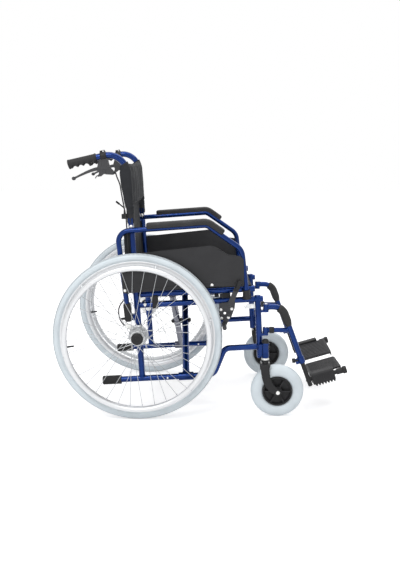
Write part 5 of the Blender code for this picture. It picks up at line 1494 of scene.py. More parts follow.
@pair("zinc_bolt", "arm", "side_guard", angle=30)
def guard_bolts(shape):
    for x, z in ((-0.0455, 0.4725), (0.267, 0.4938)):
        shape.bolt(x, z, GUARD_OUTER - 0.0012, 0.004, 0.0016)
        shape.pin(x, z, ARM_HALF + ARM_R * 0.6, GUARD_INNER + 0.0006, 0.003)


@pair("black_plastic", "frame", "armrest_socket", edge=0.0006)
def armrest_socket(shape):
    """The cup on the top rail that the armrest's front foot drops into."""
    x, z = 0.3935, 0.447
    foot = at(x, z, ARM_HALF)
    up = (at(0.373, 0.62, ARM_HALF) - foot).normalized()
    profile = mm((11.2, -7.5), (12.4, -6.5), (12.8, 17), (14.2, 24.5), (14.2, 26.2), (13.2, 27))
    profile += mm((12.6, 26.2), (10.3, 14), (10.1, -4), (0.5, -4), (0.5, -7.5))
    shape.lathe(profile, foot, foot + up, 40, closed=True)
    shape.level(
        (x - 0.015, x + 0.015), (z - 0.0085, z + 0.013), (FRAME_HALF + TUBE_R + 0.0004, ARM_HALF - 0.0108)
    )


@pair("black_plastic", "arm", edge=0.0008)
def armrest_foot(shape):
    """The plastic housing round the tube's lower end, with the catch lever that frees it."""
    pivot = Vector(ARM_PIVOT)
    way = (Vector(ARM_POINTS[1]) - pivot).normalized()
    side = Vector((way.y, -way.x))
    low = pivot - way * 0.0115
    high = pivot + way * 0.055
    corners = [low - side * 0.014, low + side * 0.014, high + side * 0.0128, high - side * 0.0128]
    outline = [(p.x, p.y) for p in corners]
    shape.slab(outline, ARM_HALF - 0.0092, ARM_HALF + 0.0106, (0.009, 0.009, 0.004, 0.004))
    catch = [
        pivot - way * 0.004,
        pivot + way * 0.0055,
        pivot + way * 0.005 - side * 0.033,
        pivot - way * 0.0015 - side * 0.0345,
    ]
    shape.slab([(p.x, p.y) for p in catch], ARM_HALF + 0.003, ARM_HALF + 0.0088, (0, 0, 0.003, 0.003))


# Parking brakes.

PLATE_IN = FRAME_HALF + TUBE_R + 0.0003
PLATE_OUT = PLATE_IN + 0.0034
LEVER_IN = 0.2674
LEVER_TIP = (0.363, 0.502)
SHOE_PIVOT = (0.328, 0.379)
BRAKE_PIVOT = (0.333, 0.424)
PLATE_BOLTS = mm((299.5, 398, 0), (339, 401, 0), (327, 370, 4.6), (302.5, 366.5, 0))


@pair("black_steel", "frame", "brake_plate", edge=0.0006)
def brake_plate(shape):
    outline = mm((294, 360), (293, 421.5), (352, 430), (350, 404), (336, 366), (310, 360))
    shape.slab(outline, PLATE_IN, PLATE_OUT, 0.005, holes=[(0.314, 0.385, 0.0046)])
    shape.pin(*BRAKE_PIVOT, PLATE_OUT - 0.001, LEVER_IN - 0.0003, 0.0075, soft=0.0008)


@pair("zinc_bolt", "frame", "brake_plate", angle=30)
def brake_bolts(shape):
    for x, z, height in PLATE_BOLTS:
        shape.bolt(x, z, PLATE_OUT + height - 0.0004, 0.004, 0.0018)
        shape.pin(x, z, FRAME_HALF + TUBE_R * 0.5, PLATE_OUT + height, 0.0026)


@pair("black_steel", "frame", "brake_plate", angle=30)
def brake_pivots(shape):
    """The pins that the lever and the shoe turn on."""
    shape.pin(*BRAKE_PIVOT, PLATE_OUT, LEVER_IN + 0.004, 0.0039)
    shape.bolt(*BRAKE_PIVOT, LEVER_IN + 0.003, 0.005, 0.0018)
    shape.pin(*SHOE_PIVOT, PLATE_OUT, PLATE_OUT + 0.0058, 0.0034)
    shape.bolt(*SHOE_PIVOT, PLATE_OUT + 0.0048, 0.005, 0.0016)


@pair("black_steel", "lever", "brake_lever", edge=0.0005)
def brake_lever(shape):
    """The flat lever, slightly waisted; its long plastic hand grip is drawn as brake_grip."""
    base = Vector(BRAKE_PIVOT)
    tip = Vector(LEVER_TIP)
    way = (tip - base).normalized()
    side = Vector((way.y, -way.x))
    sides = []
    for sign in (1, -1):
        edge = [base - way * 0.009, base + way * 0.012, base + way * 0.04, tip + way * 0.001]
        wide = (0.0098, 0.0098, 0.0093, 0.0092)
        sides.append([point + side * sign * width for point, width in zip(edge, wide)])
    outline = [(p.x, p.y) for p in sides[0] + sides[1][::-1]]
    radii = (0.006, 0, 0.02, 0.005, 0.005, 0.02, 0, 0.006)
    shape.slab(outline, LEVER_IN, LEVER_IN + 0.003, radii, holes=[(*BRAKE_PIVOT, 0.0042)])


@pair("black_plastic", "lever", "brake_lever")
def brake_grip(shape):
    base = Vector(BRAKE_PIVOT)
    tip = Vector(LEVER_TIP)
    way = (tip - base).normalized()
    low = tip - way * 0.03
    start = at(low.x, low.y, LEVER_IN + 0.0076)
    end = at(*(tip + way * 0.01), LEVER_IN + 0.0076)
    profile = mm((5, 0), (6.2, 1.2), (6.8, 6), (6.6, 15), (7.2, 28), (7.8, 35))
    profile += mm((7.2, 38.5), (5, 40), (1.2, 40.4))
    profile = [(radius * 1.15, height) for radius, height in profile]
    shape.lathe(profile, start, end, 28)


@pair("black_steel", "shoe", "brake_shoe", edge=0.0004)
def brake_shoe(shape):
    angle = radians(7.3)
    reach = WHEEL_R + 0.0098
    inner = PLATE_OUT + 0.0009
    roller = Vector((reach * cos(angle), WHEEL_R + reach * sin(angle)))
    base = Vector(SHOE_PIVOT)
    way = (roller - base).normalized()
    side = Vector((way.y, -way.x)) * 0.0088
    corners = [
        base + side - way * 0.008,
        base - side - way * 0.008,
        roller - side + way * 0.007,
        roller + side + way * 0.007,
    ]
    shape.slab([(p.x, p.y) for p in corners], inner, inner + 0.0036, 0.004, holes=[(*SHOE_PIVOT, 0.0038)])
    start = at(*roller, inner + 0.003)
    end = at(*roller, WHEEL_HALF + TYRE_WIDTH / 2 + 0.004)
    long = (end - start).length
    profile = [(0.0072, 0), (0.0078, 0.0012)]
    for k in range(14):
        foot = 0.003 + (long - 0.009) * k / 14
        profile += [(0.0078, foot), (0.0072, foot + 0.0008), (0.0072, foot + 0.0016), (0.0078, foot + 0.0022)]
    profile += [(0.0078, long - 0.0022), (0.0066, long - 0.0004), (0.001, long)]
    shape.lathe(profile, start, end, 28)


# Back canes, push handles and hand brakes.

HANDLE_CORNER_W = 0.662
HANDLE_BEND_R = 0.066
HANDLE_SLOPE = radians(12.8)
HANDLE_REACH = 0.238
GRIP_R = 0.0143
HAND_PIVOT = (-0.1118, 0.8935)
CLAMP_SPAN = (0.2793, 0.3013)
RELEASE_PIVOT = (-0.048, 0.735)


def handle_point(x):
    """The point of the push handle's middle line at x."""
    corner = frame_at(0, HANDLE_CORNER_W)
    point = at(x, 0, FRAME_HALF)
    point.z = corner.z - (corner.x - point.x) * math.tan(HANDLE_SLOPE)
    return point


def cane_path(turn=radians(7)):
    points = [frame_at(0, BACK_HINGE_W + 0.016), frame_at(0, HANDLE_CORNER_W), handle_point(-HANDLE_REACH)]
    return rounded(points, (0, HANDLE_BEND_R, 0), turn=turn)


HANDLE_WAY = (handle_point(-1) - handle_point(0)).normalized()
HANDLE_UP = Vector((HANDLE_WAY.z, 0, -HANDLE_WAY.x))


@pair("blue_paint", "back", "upper_cane", edge=0.0008)
def upper_cane(shape):
    shape.sweep(cane_path(), CANE_R, 28)
    low, high = BACK_HINGE_W - 0.0085, BACK_HINGE_W + 0.03
    outline = [(-0.0085, low), (0.0085, low), (0.0085, high), (-0.0085, high)]
    for inner in (FRAME_HALF + 0.0063, FRAME_HALF - 0.013):
        shape.slab(outline, inner, inner + 0.0067, (0.008, 0.008, 0, 0), frame_at)
    foot = frame_at(0, BACK_HINGE_W + 0.0165)
    shape.lathe(mm((11.7, 0), (12.6, 0.8), (12.6, 11.8), (11.7, 13)), foot, foot + UPWARD, 32)


@pair("zinc_bolt", "back", "upper_cane", angle=30)
def cane_bolts(shape):
    hinge = frame_at(0, BACK_HINGE_W)
    for way in (OUTWARD, -OUTWARD):
        start = hinge + way * 0.0126
        dome = mm((6.6, 0), (6.6, 1), (5.4, 2.4), (3, 3.1), (0.6, 3.2))
        shape.lathe(dome, start, start + way, 28)
    shape.rod(hinge + OUTWARD * 0.013, hinge - OUTWARD * 0.013, 0.0041)
    x, z = RELEASE_PIVOT
    shape.pin(x, z, FRAME_HALF - 0.0115, FRAME_HALF, 0.003)
    shape.pin(x, z, FRAME_HALF - 0.0122, FRAME_HALF - 0.0102, 0.0052, sides=6)


@pair("black_plastic", "back", "upper_cane", edge=0.0008)
def release_bracket(shape):
    """The black catch box behind the hinge that the release lever turns in."""
    x, z = RELEASE_PIVOT
    shape.level((x - 0.008, x + 0.018), (z - 0.009, z + 0.009), (FRAME_HALF - 0.004, FRAME_HALF + 0.0035))
    foot = frame_at(0, (z - WHEEL_R) / cos(RAKE) - 0.0095)
    ring = [(CANE_R + 0.0001, 0), (0.0133, 0.0006), (0.0133, 0.0184), (CANE_R + 0.0001, 0.019)]
    shape.lathe(ring, foot, foot + UPWARD, 32, caps=False)


@pair("black_plastic", "back")
def catch_collar(shape):
    """The plastic collar on the foot of the cane, just over the back's hinge."""
    foot = frame_at(0, BACK_HINGE_W + 0.0105)
    wide = CANE_R + 0.0016
    profile = [(CANE_R + 0.0006, 0), (wide, 0.001), (wide, 0.018), (CANE_R + 0.0005, 0.0196)]
    shape.lathe(profile, foot, frame_at(0, 1), 36)


@pair("black_rubber", "back", "grip", angle=50)
def grip(shape):
    """The rubber grip: deep hollows for the fingers below, a collar in front and a closed end."""
    front = handle_point(-HANDLE_REACH + 0.098)
    back = handle_point(-HANDLE_REACH - 0.0035)
    long = (back - front).length
    loops = []
    steps = 128
    for i in range(steps + 1):
        s = long * i / steps
        radius = GRIP_R - 0.0004
        if s < 0.006:
            radius = GRIP_R + 0.0009 - 0.0008 * (1 - s / 0.006) ** 4
        elif s > long - 0.006:
            radius = GRIP_R + 0.0003
        edge = min(s, long - s)
        end_round = round_off(edge, 0.0028)
        radius *= 0.84 + 0.16 * end_round
        wave = 0.5 + 0.5 * cos(2 * pi * (s - 0.0105) / 0.0205)
        if s > 0.0925:
            wave = 1.0
        loop = []
        for k, angle in enumerate(circle(32)):
            below = max(0.0, -sin(angle)) ** 1.4
            reach = radius + below * (0.0056 * wave**1.4 * end_round - 0.001)
            groove = 0.0004 if k % 2 and not below and 0.008 < s < long - 0.008 else 0.0
            offset = Vector((0, -cos(angle), 0)) + HANDLE_UP * sin(angle)
            loop.append(front + HANDLE_WAY * s + offset * (reach - groove))
        loops.append(loop)
    shape.rings(loops)


@pair("black_plastic", "back", "lever_body", edge=0.0005)
def clamp_band(shape):
    """The black band that clamps the hand brake to the handle, with its screw boss on top."""
    path = clipped(cane_path(), *CLAMP_SPAN)
    start, end = path[0], path[-1]
    profile = mm((12, 0), (14.6, 0.4), (15.4, 1.6), (15.4, 20), (14.6, 21.6), (12, 22))
    shape.lathe(profile, start, end, 36, caps=False)
    top = Matrix.Translation((start + end) / 2 + HANDLE_UP * 0.0135)
    turn = Matrix((-HANDLE_WAY, INWARD, HANDLE_UP)).transposed().to_4x4()
    for y in (-0.0042, 0.0042):
        shape.block((-0.0085, y - 0.0022, 0.0), (0.0085, y + 0.0022, 0.0062), top @ turn)


@pair("zinc_bolt", "back", "lever_body")
def band_screw(shape):
    path = clipped(cane_path(), *CLAMP_SPAN)
    centre = (path[0] + path[-1]) / 2 + UP * 0.0165
    shape.rod(centre + OUTWARD * 0.0078, centre + INWARD * 0.0078, 0.0026, sides=6)


@pair("grey_cast", "back", "lever_body", edge=0.001)
def hand_body(shape):
    """The cast body under the band: two cheeks below a block, the cable's end and the parking catch."""
    block = mm((-130, 936), (-101, 942.5), (-97.5, 923), (-92.5, 907), (-100, 901), (-133, 901), (-138, 908))
    shape.slab(block, FRAME_HALF - 0.01, FRAME_HALF + 0.01, (0.003, 0.004, 0.02, 0.006, 0.002, 0.003, 0.006))
    cheek = mm(
        (-139.5, 907.5), (-92.5, 907.5), (-79.5, 894), (-80.3, 882), (-106, 883.3), (-115, 885.5),
        (-126, 876.5), (-137.5, 875), (-131, 890),
    )
    radii = (0.003, 0.006, 0.003, 0.003, 0.004, 0.008, 0.004, 0.002, 0.01)
    for inner in (FRAME_HALF + 0.0044, FRAME_HALF - 0.0092):
        shape.slab(cheek, inner, inner + 0.0048, radii)
    nose = mm((-100, 903), (-92, 906), (-80, 893.5), (-80.6, 882.6), (-96.5, 883))
    shape.slab(nose, FRAME_HALF - 0.006, FRAME_HALF + 0.006, (0.002, 0.005, 0.003, 0.003, 0.003))
    points = mm((-129, 881), (-140, 877.5), (-145.5, 869.5))
    hook = smooth([at(x, z, FRAME_HALF + 0.0068) for x, z in points], 6)
    shape.sweep(hook, [0.0024 - 0.001 * k / (len(hook) - 1) for k in range(len(hook))], 12)
    x, z = HAND_PIVOT
    shape.pin(x, z, FRAME_HALF - 0.0105, FRAME_HALF + 0.0105, 0.0052, soft=0.0008)
    for k in range(4):
        x = 0.0062 * k - 0.1245
        shape.level((x, x + 0.0023), (0.91, 0.932), (FRAME_HALF + 0.0096, FRAME_HALF + 0.0106))


@pair("black_plastic", "back", "lever_body", angle=30)
def cable_adjuster(shape):
    start = at(-0.0812, 0.8888, FRAME_HALF)
    end = at(-0.07, 0.8872, FRAME_HALF + 0.0004)
    profile = mm((4, 0), (4.4, 0.6), (4.4, 3), (3.5, 3.6), (3, 5.2))
    shape.lathe(profile, start, end, 24)


HAND_ROUTE = mm((-112, 894), (-135, 902.5), (-165, 895), (-198, 880.8), (-222.5, 869))


@pair("grey_cast", "squeeze", "hand_lever")
def hand_lever(shape):
    """The curved blade, wide at its pivot and thin before the ball at its tip."""
    route = [at(x, z, FRAME_HALF) for x, z in HAND_ROUTE]
    path = smooth(route, 8)
    total = length_of(path)
    walked = 0.0
    loops = []
    for i, point in enumerate(path):
        if i:
            walked += (point - path[i - 1]).length
        share = walked / total
        way = way_at(path, i)
        across = Vector((way.z, 0, -way.x))
        half = 0.0074 - 0.0038 * min(1.0, share * 1.2)
        loops.append(soft_section(point, across, half, INWARD, 0.0036, 0.0014))
    shape.rings(loops)
    shape.ball(path[-1], 0.0066, (1.15, 1, 1), 20)


@pair("black_plastic", "release", "back_release")
def back_release(shape):
    """The bent release rod behind the hinge, with a moulded tip."""
    out = FRAME_HALF - 0.007
    x, z = RELEASE_PIVOT
    shape.tube(
        [at(x, z, out), at(-0.046, 0.764, out), at(-0.072, 0.785, out)], 0.0024, (0, 0.012, 0), sides=16
    )
    profile = mm((3.3, 0), (6.2, 0.2), (6.5, 0.6), (6.5, 3), (6.2, 3.4), (3.3, 3.6))
    shape.lathe(profile, at(x, z, out - 0.0018), at(x, z, out + 0.0018), 28, closed=True)
    shape.rod(at(-0.064, 0.7785, out), at(-0.076, 0.788, out), 0.0038, 0.0034, soft=0.0012)


def cable_route():
    sleeve = mm((-29, 545), (-26.2, 515), (-22.8, 485))
    beside = mm((430, 12.5), (372, 14.8), (300, 14.8), (225, 14.4), (175, 12.6))
    route = [
        at(-0.0812, 0.8895, FRAME_HALF),
        at(-0.0748, 0.889, FRAME_HALF),
        at(-0.0695, 0.874, FRAME_HALF + 0.002),
        *(frame_at(u, w, FRAME_HALF + 0.002) for u, w in sleeve),
        frame_at(-0.019, 0.458, FRAME_HALF + 0.007),
        *(frame_at(-0.015, w, FRAME_HALF + out) for w, out in beside),
        at(-0.048, 0.44, 0.2385),
        at(-0.07, 0.405, 0.2395),
        at(-0.069, 0.366, 0.24),
        at(-0.055, 0.3415, 0.24),
        at(-0.0484, 0.341, 0.24),
    ]
    return smooth(route, 6)


@pair("black_rubber", "frame", "side_frame")
def lower_cable_clips(shape):
    """The small strap that holds the cable to the cane."""
    w = 0.181
    height = 0.008
    middle = frame_at(-0.009, w, 0.2335)
    centre = frame_at(-0.015, w, 0.238)
    eye = [(0.0026, 0), (0.0038, 0), (0.0038, height), (0.0026, height)]
    shape.lathe(eye, centre, centre + UPWARD, 20, closed=True)
    foot = frame_at(0, w, FRAME_HALF)
    band = CANE_R + 0.0001
    ring = [(band, 0), (band + 0.0012, 0.0003), (band + 0.0012, height - 0.0003), (band, height)]
    shape.lathe(ring, foot, foot + UPWARD, 32, closed=True)
    shape.rod(middle + UPWARD * height * 0.1, middle + UPWARD * height * 0.9, 0.003, sides=8)


def brake_cables():
    """The two brake cables, each swept along its route."""
    for side, mirror in (("right", 1), ("left", -1)):
        shape = Shape().sweep(cable_route(), 0.0024, 14)
        route = [point * Vector((1, mirror, 1)) for point in cable_route()]
        if mirror < 0:
            shape = shape.mirrored()
        cable = shape.object(f"{side}_brake_cable_look", "black_rubber")
        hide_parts(f"{side}_brake_cable")
        spread = Vector((1, mirror, 1))
        frame_at(0, 0.37) * spread
        frame_at(0, 0.44) * spread
        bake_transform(cable)
        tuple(route[0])
        length_of(route)
        [tuple(point) for point in route]


brake_cables()


# Upholstery.

UPPER_LOW = 0.4627
UPPER_HIGH = 0.617
STRAP_R = 0.0137
SLEEVE_BEHIND = 0.0165


def closed_grid(columns, rows, front, back):
    """A closed pad between two surfaces, each given by its shares across and up."""
    shape = Shape()
    loops = []
    for j in range(rows + 1):
        b = j / rows
        loop = [front(i / columns, b) for i in range(columns + 1)]
        loop += [back(i / columns, b) for i in range(columns, -1, -1)]
        loops.append(loop)
    made = [[shape.bm.verts.new(point) for point in loop] for loop in loops]
    long = len(made[0])
    for low, high in zip(made, made[1:]):
        shape.wall(low, high)
    for row in (made[0], made[-1]):
        for i in range(columns):
            shape.bm.faces.new((row[i], row[i + 1], row[long - 2 - i], row[long - 1 - i]))
    return shape


def swell(a, power):
    """A share that is 0 at both ends and rises quickly to 1 between them."""
    return max(0.0, sin(pi * min(max(a, 0.0), 1.0))) ** power


def upper_panel_look():
    """The padded back panel between the canes: loose vertical folds, fuller towards the middle."""

    def spot(a, b):
        return UPPER_LOW + 0.001 + (UPPER_HIGH - UPPER_LOW - 0.001) * b, 0.2215 * (1 - 2 * a)

    def front(a, b):
        w, out = spot(a, b)
        full = swell(a, 0.3) * swell(0.06 + 0.88 * b, 0.3)
        fold = sin(out * 2 * pi / 0.052 + 1.6 * sin(b * 2.4)) * 0.0018
        ripple = noise.noise(Vector((out * 26, w * 9, 3.1))) * 0.0036
        return frame_at(-0.0016 + 0.0162 * full + (fold + ripple) * full, w, out)

    def back(a, b):
        w, out = spot(a, b)
        full = swell(a, 0.4) * swell(0.05 + 0.9 * b, 0.4)
        ripple = noise.noise(Vector((out * 22, w * 8, 9.7))) * 0.0024
        return frame_at(-0.0034 - (0.0062 + ripple) * full, w, out)

    return closed_grid(110, 44, front, back)


def slack_sleeve(path, reach, seed, bare=None):
    """A cloth sleeve along a path. reach gives how far it goes (behind, ahead); bare keeps off the cane."""
    loops = []
    for i, point in enumerate(path):
        way = way_at(path, i)
        side = INWARD
        ahead = side.cross(way).normalized()
        behind, forward = reach(i / (len(path) - 1))
        edge = min(i, len(path) - 1 - i)
        hem = 0.0005 if edge < 3 else 0.0
        loop = []
        for angle in circle(48):
            across = squared(cos(angle), 0.88)
            along_it = squared(sin(angle), 0.88)
            slack = noise.noise(Vector((cos(angle) * 1.4, sin(angle) * 1.4, point.z * 11 + seed)))
            tuck = noise.noise(
                Vector((cos(angle) * 2.4 + point.z * 9, sin(angle) * 2.4, point.z * 34 + seed))
            )
            more = max(0.0, slack) * 0.0016 + tuck * 0.0013 + hem
            offset = side * across * (STRAP_R + more)
            offset += ahead * along_it * ((forward if along_it > 0 else behind) + more)
            if bare is not None:
                offset = bare(offset)
            loop.append(point + offset)
        loops.append(loop)
    shape = Shape()
    shape.rings(loops)
    return shape


def upper_sleeve_path():
    path = cane_path(turn=0.05)
    start = UPPER_LOW - 0.411
    marks = [start + 0.1565 * k / 64 for k in range(65)]
    return [clipped(path, mark, mark + 0.0001)[0] for mark in marks]


def upper_reach(share):
    """The loose cloth hangs further behind the cane towards the top, until the handle bends away."""
    if share < 0.8:
        return 0.015 + 0.0128 * min(1.0, share / 0.72) ** 0.8, 0.0139
    return 0.0278 - 0.0074 * (share - 0.8) / 0.2, 0.0139


def lower_sleeve_path():
    low, high = ((z - WHEEL_R) / cos(RAKE) for z in (0.522, 0.676))
    return [frame_at(-SLEEVE_BEHIND, low + (high - low) * k / 50, FRAME_HALF - 0.002) for k in range(51)]


def off_lower_cane(offset):
    """Keeps the lower sleeve's cloth off the cane in front of it."""
    from_cane = offset + Vector((-SLEEVE_BEHIND, 0.002, 0))
    flat = Vector((from_cane.x, from_cane.y, 0))
    if flat.length >= CANE_R + 0.0003:
        return offset
    return offset + flat.normalized() * (CANE_R + 0.0003 - flat.length)


def lower_panel_look():
    """The thin lower sling: it hangs slack between the canes, and its flap runs up behind the hinge."""
    low, high = 0.2183, 0.4548

    def reach(b):
        return 0.219 if b < 0.62 else 0.219 - 0.012 * min(1.0, (b - 0.62) / 0.03)

    def surface(a, b, offset):
        w = low + (high - low) * b
        out = reach(b) * (1 - 2 * a)
        slack = swell(a, 0.6) * 0.006 * (1.0 - 0.75 * b)
        ripple = noise.noise(Vector((out * 24, w * 10, 5.5))) * 0.003 * swell(a, 0.5)
        pleat = sin(out * 2 * pi / 0.061 + 2.0 * b) * 0.0012 * swell(a, 0.5)
        return frame_at(-0.01 - slack + ripple + pleat + offset, w, out)

    return closed_grid(100, 50, lambda a, b: surface(a, b, 0.0016), lambda a, b: surface(a, b, -0.0016))


def strap_look():
    """The straps below the upper sleeve, drawn round the cane above and below the catch box."""
    catch = (RELEASE_PIVOT[1] - WHEEL_R) / cos(RAKE)
    shape = Shape()
    for low, high in ((0.4125, catch - 0.01), (catch + 0.01, UPPER_LOW - 0.0004)):
        loops = []
        for k in range(13):
            w = low + (high - low) * k / 12
            hem = 0.0004 if k in (0, 1, 11, 12) else 0.0
            loop = []
            for angle in circle(36):
                crease = noise.noise(Vector((cos(angle) * 2, sin(angle) * 2, w * 150))) * 0.0005
                reach = 0.0134 + hem + crease
                loop.append(frame_at(reach * cos(angle), w, FRAME_HALF + reach * sin(angle)))
            loops.append(loop)
        shape.rings(loops)
    return shape


def seat_look():
    """The seat sling: it sags between the rails, and its edges wrap round them."""
    wrap = 0.0123 * radians(26)
    half = FRAME_HALF + wrap

    def surface(a, b, lift):
        u = 0.02 + 0.4 * a
        across = half * (2 * b - 1)
        side = math.copysign(1, across)
        rise = SEAT_RAIL_W + 0.0104 + lift
        if abs(across) > FRAME_HALF:
            turn = (abs(across) - FRAME_HALF) / 0.0123
            radius = 0.0104 + lift
            return frame_at(u, SEAT_RAIL_W + radius * cos(turn), side * (FRAME_HALF + radius * sin(turn)))
        middle = 1 - (across / FRAME_HALF) ** 2
        sag = 0.012 * middle * (0.65 + 0.35 * swell(a, 0.5))
        ripple = noise.noise(Vector((u * 14, across * 9, 1.7))) * 0.003 * middle
        return frame_at(u, rise - sag + ripple, across)

    return closed_grid(90, 110, lambda a, b: surface(a, b, 0.0), lambda a, b: surface(a, b, 0.0038))


STITCH = 0.0042
PUFF_PRESSURE = 4.0
PUFF_LIMIT = 0.006
SEAM_HEIGHTS = [0.47 + 0.004 * k for k in range(27)]
SEAM_ACROSS = [0.205 - 0.0041 * k for k in range(101)]


def upper_seams():
    """Rows along the panel's two hems, and four rows up it, the outer two beside its sleeves."""
    rows = [[frame_at(0.03, w, out) for out in SEAM_ACROSS] for w in (UPPER_LOW + 0.007, UPPER_HIGH - 0.008)]
    rows += [[frame_at(0.03, w, out) for w in SEAM_HEIGHTS] for out in (0.2075, 0.112, -0.112, -0.2075)]
    return rows


def lower_seams():
    rows = [[frame_at(0.01, w, out) for out in SEAM_ACROSS] for w in (0.224, 0.369, 0.449)]
    rows += [[frame_at(0.01, 0.224 + 0.0041 * k, out) for k in range(35)] for out in (0.212, -0.212)]
    return rows


def seat_seams():
    w = SEAT_RAIL_W + 0.02
    rows = [[frame_at(u, w, out) for out in SEAM_ACROSS] for u in (0.0265, 0.03, 0.41, 0.4135)]
    ahead = [0.03 + 0.0041 * k for k in range(94)]
    rows += [[frame_at(u, w, out) for u in ahead] for out in (0.208, 0.2045, -0.2045, -0.208)]
    return rows


def stitched(name, surface, routes):
    """Rows of sewn stitches that lie on a finished cloth surface, along routes near it."""
    made = bmesh.new()
    made.from_mesh(surface.data)
    tree = BVHTree.FromBMesh(made)
    shape = Shape()
    for route in routes:
        total = length_of(route)
        count = int(total / STITCH)
        for k in range(count):
            ends = []
            for mark in (k * STITCH + 0.0007, k * STITCH + 0.0033):
                near = clipped(route, min(mark, total - 0.0003), min(mark + 0.0002, total))[0]
                place, normal = tree.find_nearest(near)[:2]
                ends.append(place + normal * 0.00005)
            if (ends[1] - ends[0]).length > 0.0012:
                shape.rod(ends[0], ends[1], 0.00055, sides=6)
    made.free()
    return shape.object(name, "black_thread")


def puffed(panel):
    """Blows the padding up a little with a short cloth simulation, held at the panel's side edges."""
    cloth = bpy.data.objects.new("puffing", panel.data.copy())
    bpy.context.scene.collection.objects.link(cloth)
    held = cloth.vertex_groups.new(name="held")
    for vertex in cloth.data.vertices:
        if abs(vertex.co.y) > 0.215:
            held.add([vertex.index], 1.0, "REPLACE")
    soft = cloth.modifiers.new("Cloth", "CLOTH")
    settings = soft.settings
    settings.quality = 5
    settings.mass = 0.25
    settings.use_pressure = True
    settings.uniform_pressure_force = PUFF_PRESSURE
    settings.vertex_group_mass = "held"
    settings.tension_stiffness = 12
    settings.compression_stiffness = 12
    settings.bending_stiffness = 0.6
    settings.effector_weights.gravity = 0
    for step in range(1, 21):
        bpy.context.scene.frame_set(step)
    graph = bpy.context.evaluated_depsgraph_get()
    result = cloth.evaluated_get(graph).data
    for vertex, blown in zip(panel.data.vertices, result.vertices):
        shift = blown.co - vertex.co
        if shift.length > PUFF_LIMIT:
            shift *= PUFF_LIMIT / shift.length
        vertex.co += shift
    bpy.data.objects.remove(cloth)
    bpy.context.scene.frame_set(1)


def upholstery():
    for side, mirror in (("right", 1), ("left", -1)):
        sleeves = {
            "upper": (slack_sleeve(upper_sleeve_path(), upper_reach, 4.0), "back"),
            "lower": (
                slack_sleeve(lower_sleeve_path(), lambda b: (STRAP_R, STRAP_R), 9.0, off_lower_cane), "frame"
            ),
            "strap": (strap_look(), "back"),
        }
        for level, (shape, body) in sleeves.items():
            if mirror < 0:
                shape = shape.mirrored()
            piece = shape.object(f"{side}_{level}_sleeve_look", "black_fabric")
            node = "lower_back_upholstery" if level == "lower" else "upper_back_upholstery"
            settle(piece, f"{side}_{body}", [node])
            if level == "upper":
                lines = [[frame_at(u, w, (FRAME_HALF + out)) * Vector((1, mirror, 1)) for w in SEAM_HEIGHTS]
                         for u, out in ((0.02, 0.006), (-0.034, 0.004))]
                settle(stitched(f"{side}_sleeve_seams", piece, lines), f"{side}_back")
    # Painted shade: the panel takes the darker copy of the black nylon.
    upper = upper_panel_look().object("upper_back_panel_look", "panel_fabric")
    puffed(upper)
    settle(upper, "right_back", ["upper_back_upholstery"])
    lower = lower_panel_look().object("lower_back_panel_look", "black_fabric")
    settle(lower, "right_frame", ["lower_back_upholstery"])
    seat = seat_look().object("seat_sling_look", "seat_fabric")
    settle(seat, "seat", ["seat_sling"])
    cloths = [
        upper,
        lower,
        seat,
        settle(stitched("upper_back_seams", upper, upper_seams()), "right_back"),
        settle(stitched("lower_back_seams", lower, lower_seams()), "right_frame"),
        settle(stitched("seat_seams", seat, seat_seams()), "seat"),
    ]
    for piece in cloths:
        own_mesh(piece)


upholstery()


# The stage: camera, floor, light.


def make_camera():
    data = bpy.data.cameras.new("camera")
    data.lens = CAMERA_LENS
    data.sensor_width = 36.0
    camera = bpy.data.objects.new("camera", data)
    bpy.context.scene.collection.objects.link(camera)
    camera.location = CAMERA_PLACE
    level = cos(CAMERA_PITCH)
    way = Vector((sin(CAMERA_YAW) * level, cos(CAMERA_YAW) * level, -sin(CAMERA_PITCH)))
    camera.rotation_euler = way.to_track_quat("-Z", "Y").to_euler()
    data.clip_end = 60
    bpy.context.scene.camera = camera


def shows_white(path):
    """1 for the rays that see the background: from the camera, and by gloss or glass."""
    return path["Is Camera Ray"].at_least(path["Is Glossy Ray"]).at_least(path["Is Transmission Ray"])


def ray_paths(finish):
    made = finish.tree.nodes.new("ShaderNodeLightPath")
    names = ("Is Camera Ray", "Is Glossy Ray", "Is Transmission Ray")
    return {name: Wire(finish, made.outputs[name]) for name in names}


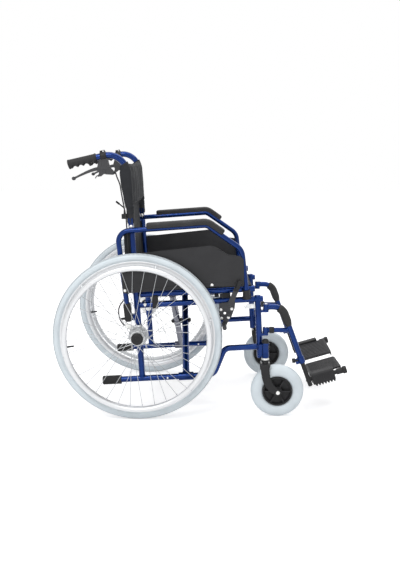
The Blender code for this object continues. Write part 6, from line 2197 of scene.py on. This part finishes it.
FLOOR_COLOUR = (0.8, 0.8, 0.81)
FLOOR_GLOW = 0.52
WORLD_LIGHT = 0.6


def make_floor():
    size = 14
    shape = Shape().block((-size, -size, -0.02), (size, size, 0.0))
    floor = Finish("pale_floor", Base_Color=FLOOR_COLOUR, Roughness=0.9, Specular_IOR_Level=0.1)
    grain = floor.noise(30.0, 4.0)
    floor.set("Base Color", floor.mix(grain * 0.1, FLOOR_COLOUR, (0.77, 0.77, 0.78)))
    glow = floor.node(
        "Emission", {}, {"Color": (1, 1, 1, 1), "Strength": shows_white(ray_paths(floor)) * FLOOR_GLOW}
    )
    surface = Wire(floor, floor.shader.outputs[0])
    both = floor.node("AddShader", {}, {0: surface, 1: glow})
    floor.tree.links.new(both.socket, floor.tree.nodes["Material Output"].inputs[0])
    FINISHES["pale_floor"] = floor.material
    made = shape.object("floor", "pale_floor")


def make_world():
    world = bpy.data.worlds.new("studio")
    bpy.context.scene.world = world
    world.use_nodes = True
    tree = world.node_tree
    background = tree.nodes["Background"]
    background.inputs["Color"].default_value = (1, 1, 1, 1)
    strength = shows_white(ray_paths(Nodes(tree))) * (1 - WORLD_LIGHT) + WORLD_LIGHT
    tree.links.new(strength.socket, background.inputs["Strength"])


def area_light(name, place, target, size, power):
    data = bpy.data.lights.new(name, "AREA")
    data.shape = "RECTANGLE"
    data.size, data.size_y = size
    data.energy = power
    lamp = bpy.data.objects.new(name, data)
    bpy.context.scene.collection.objects.link(lamp)
    lamp.location = place
    lamp.rotation_euler = (Vector(target) - Vector(place)).to_track_quat("-Z", "Y").to_euler()


make_camera()
make_floor()
make_world()
area_light("key_light", (-1.2, -2.6, 3.2), (0, 0, 0.4), (1.6, 1.0), 44)
area_light("strip_light", (-0.5, -3.2, 1.6), (0, 0, 0.5), (3.0, 0.3), 9)
area_light("top_light", (0.4, 0.2, 3.6), (0, 0, 0.4), (2.8, 2.8), 50)
area_light("rear_light", (1.8, 2.4, 2.4), (0, 0, 0.5), (2.0, 2.0), 14)
bpy.context.scene.view_settings.view_transform = "Standard"
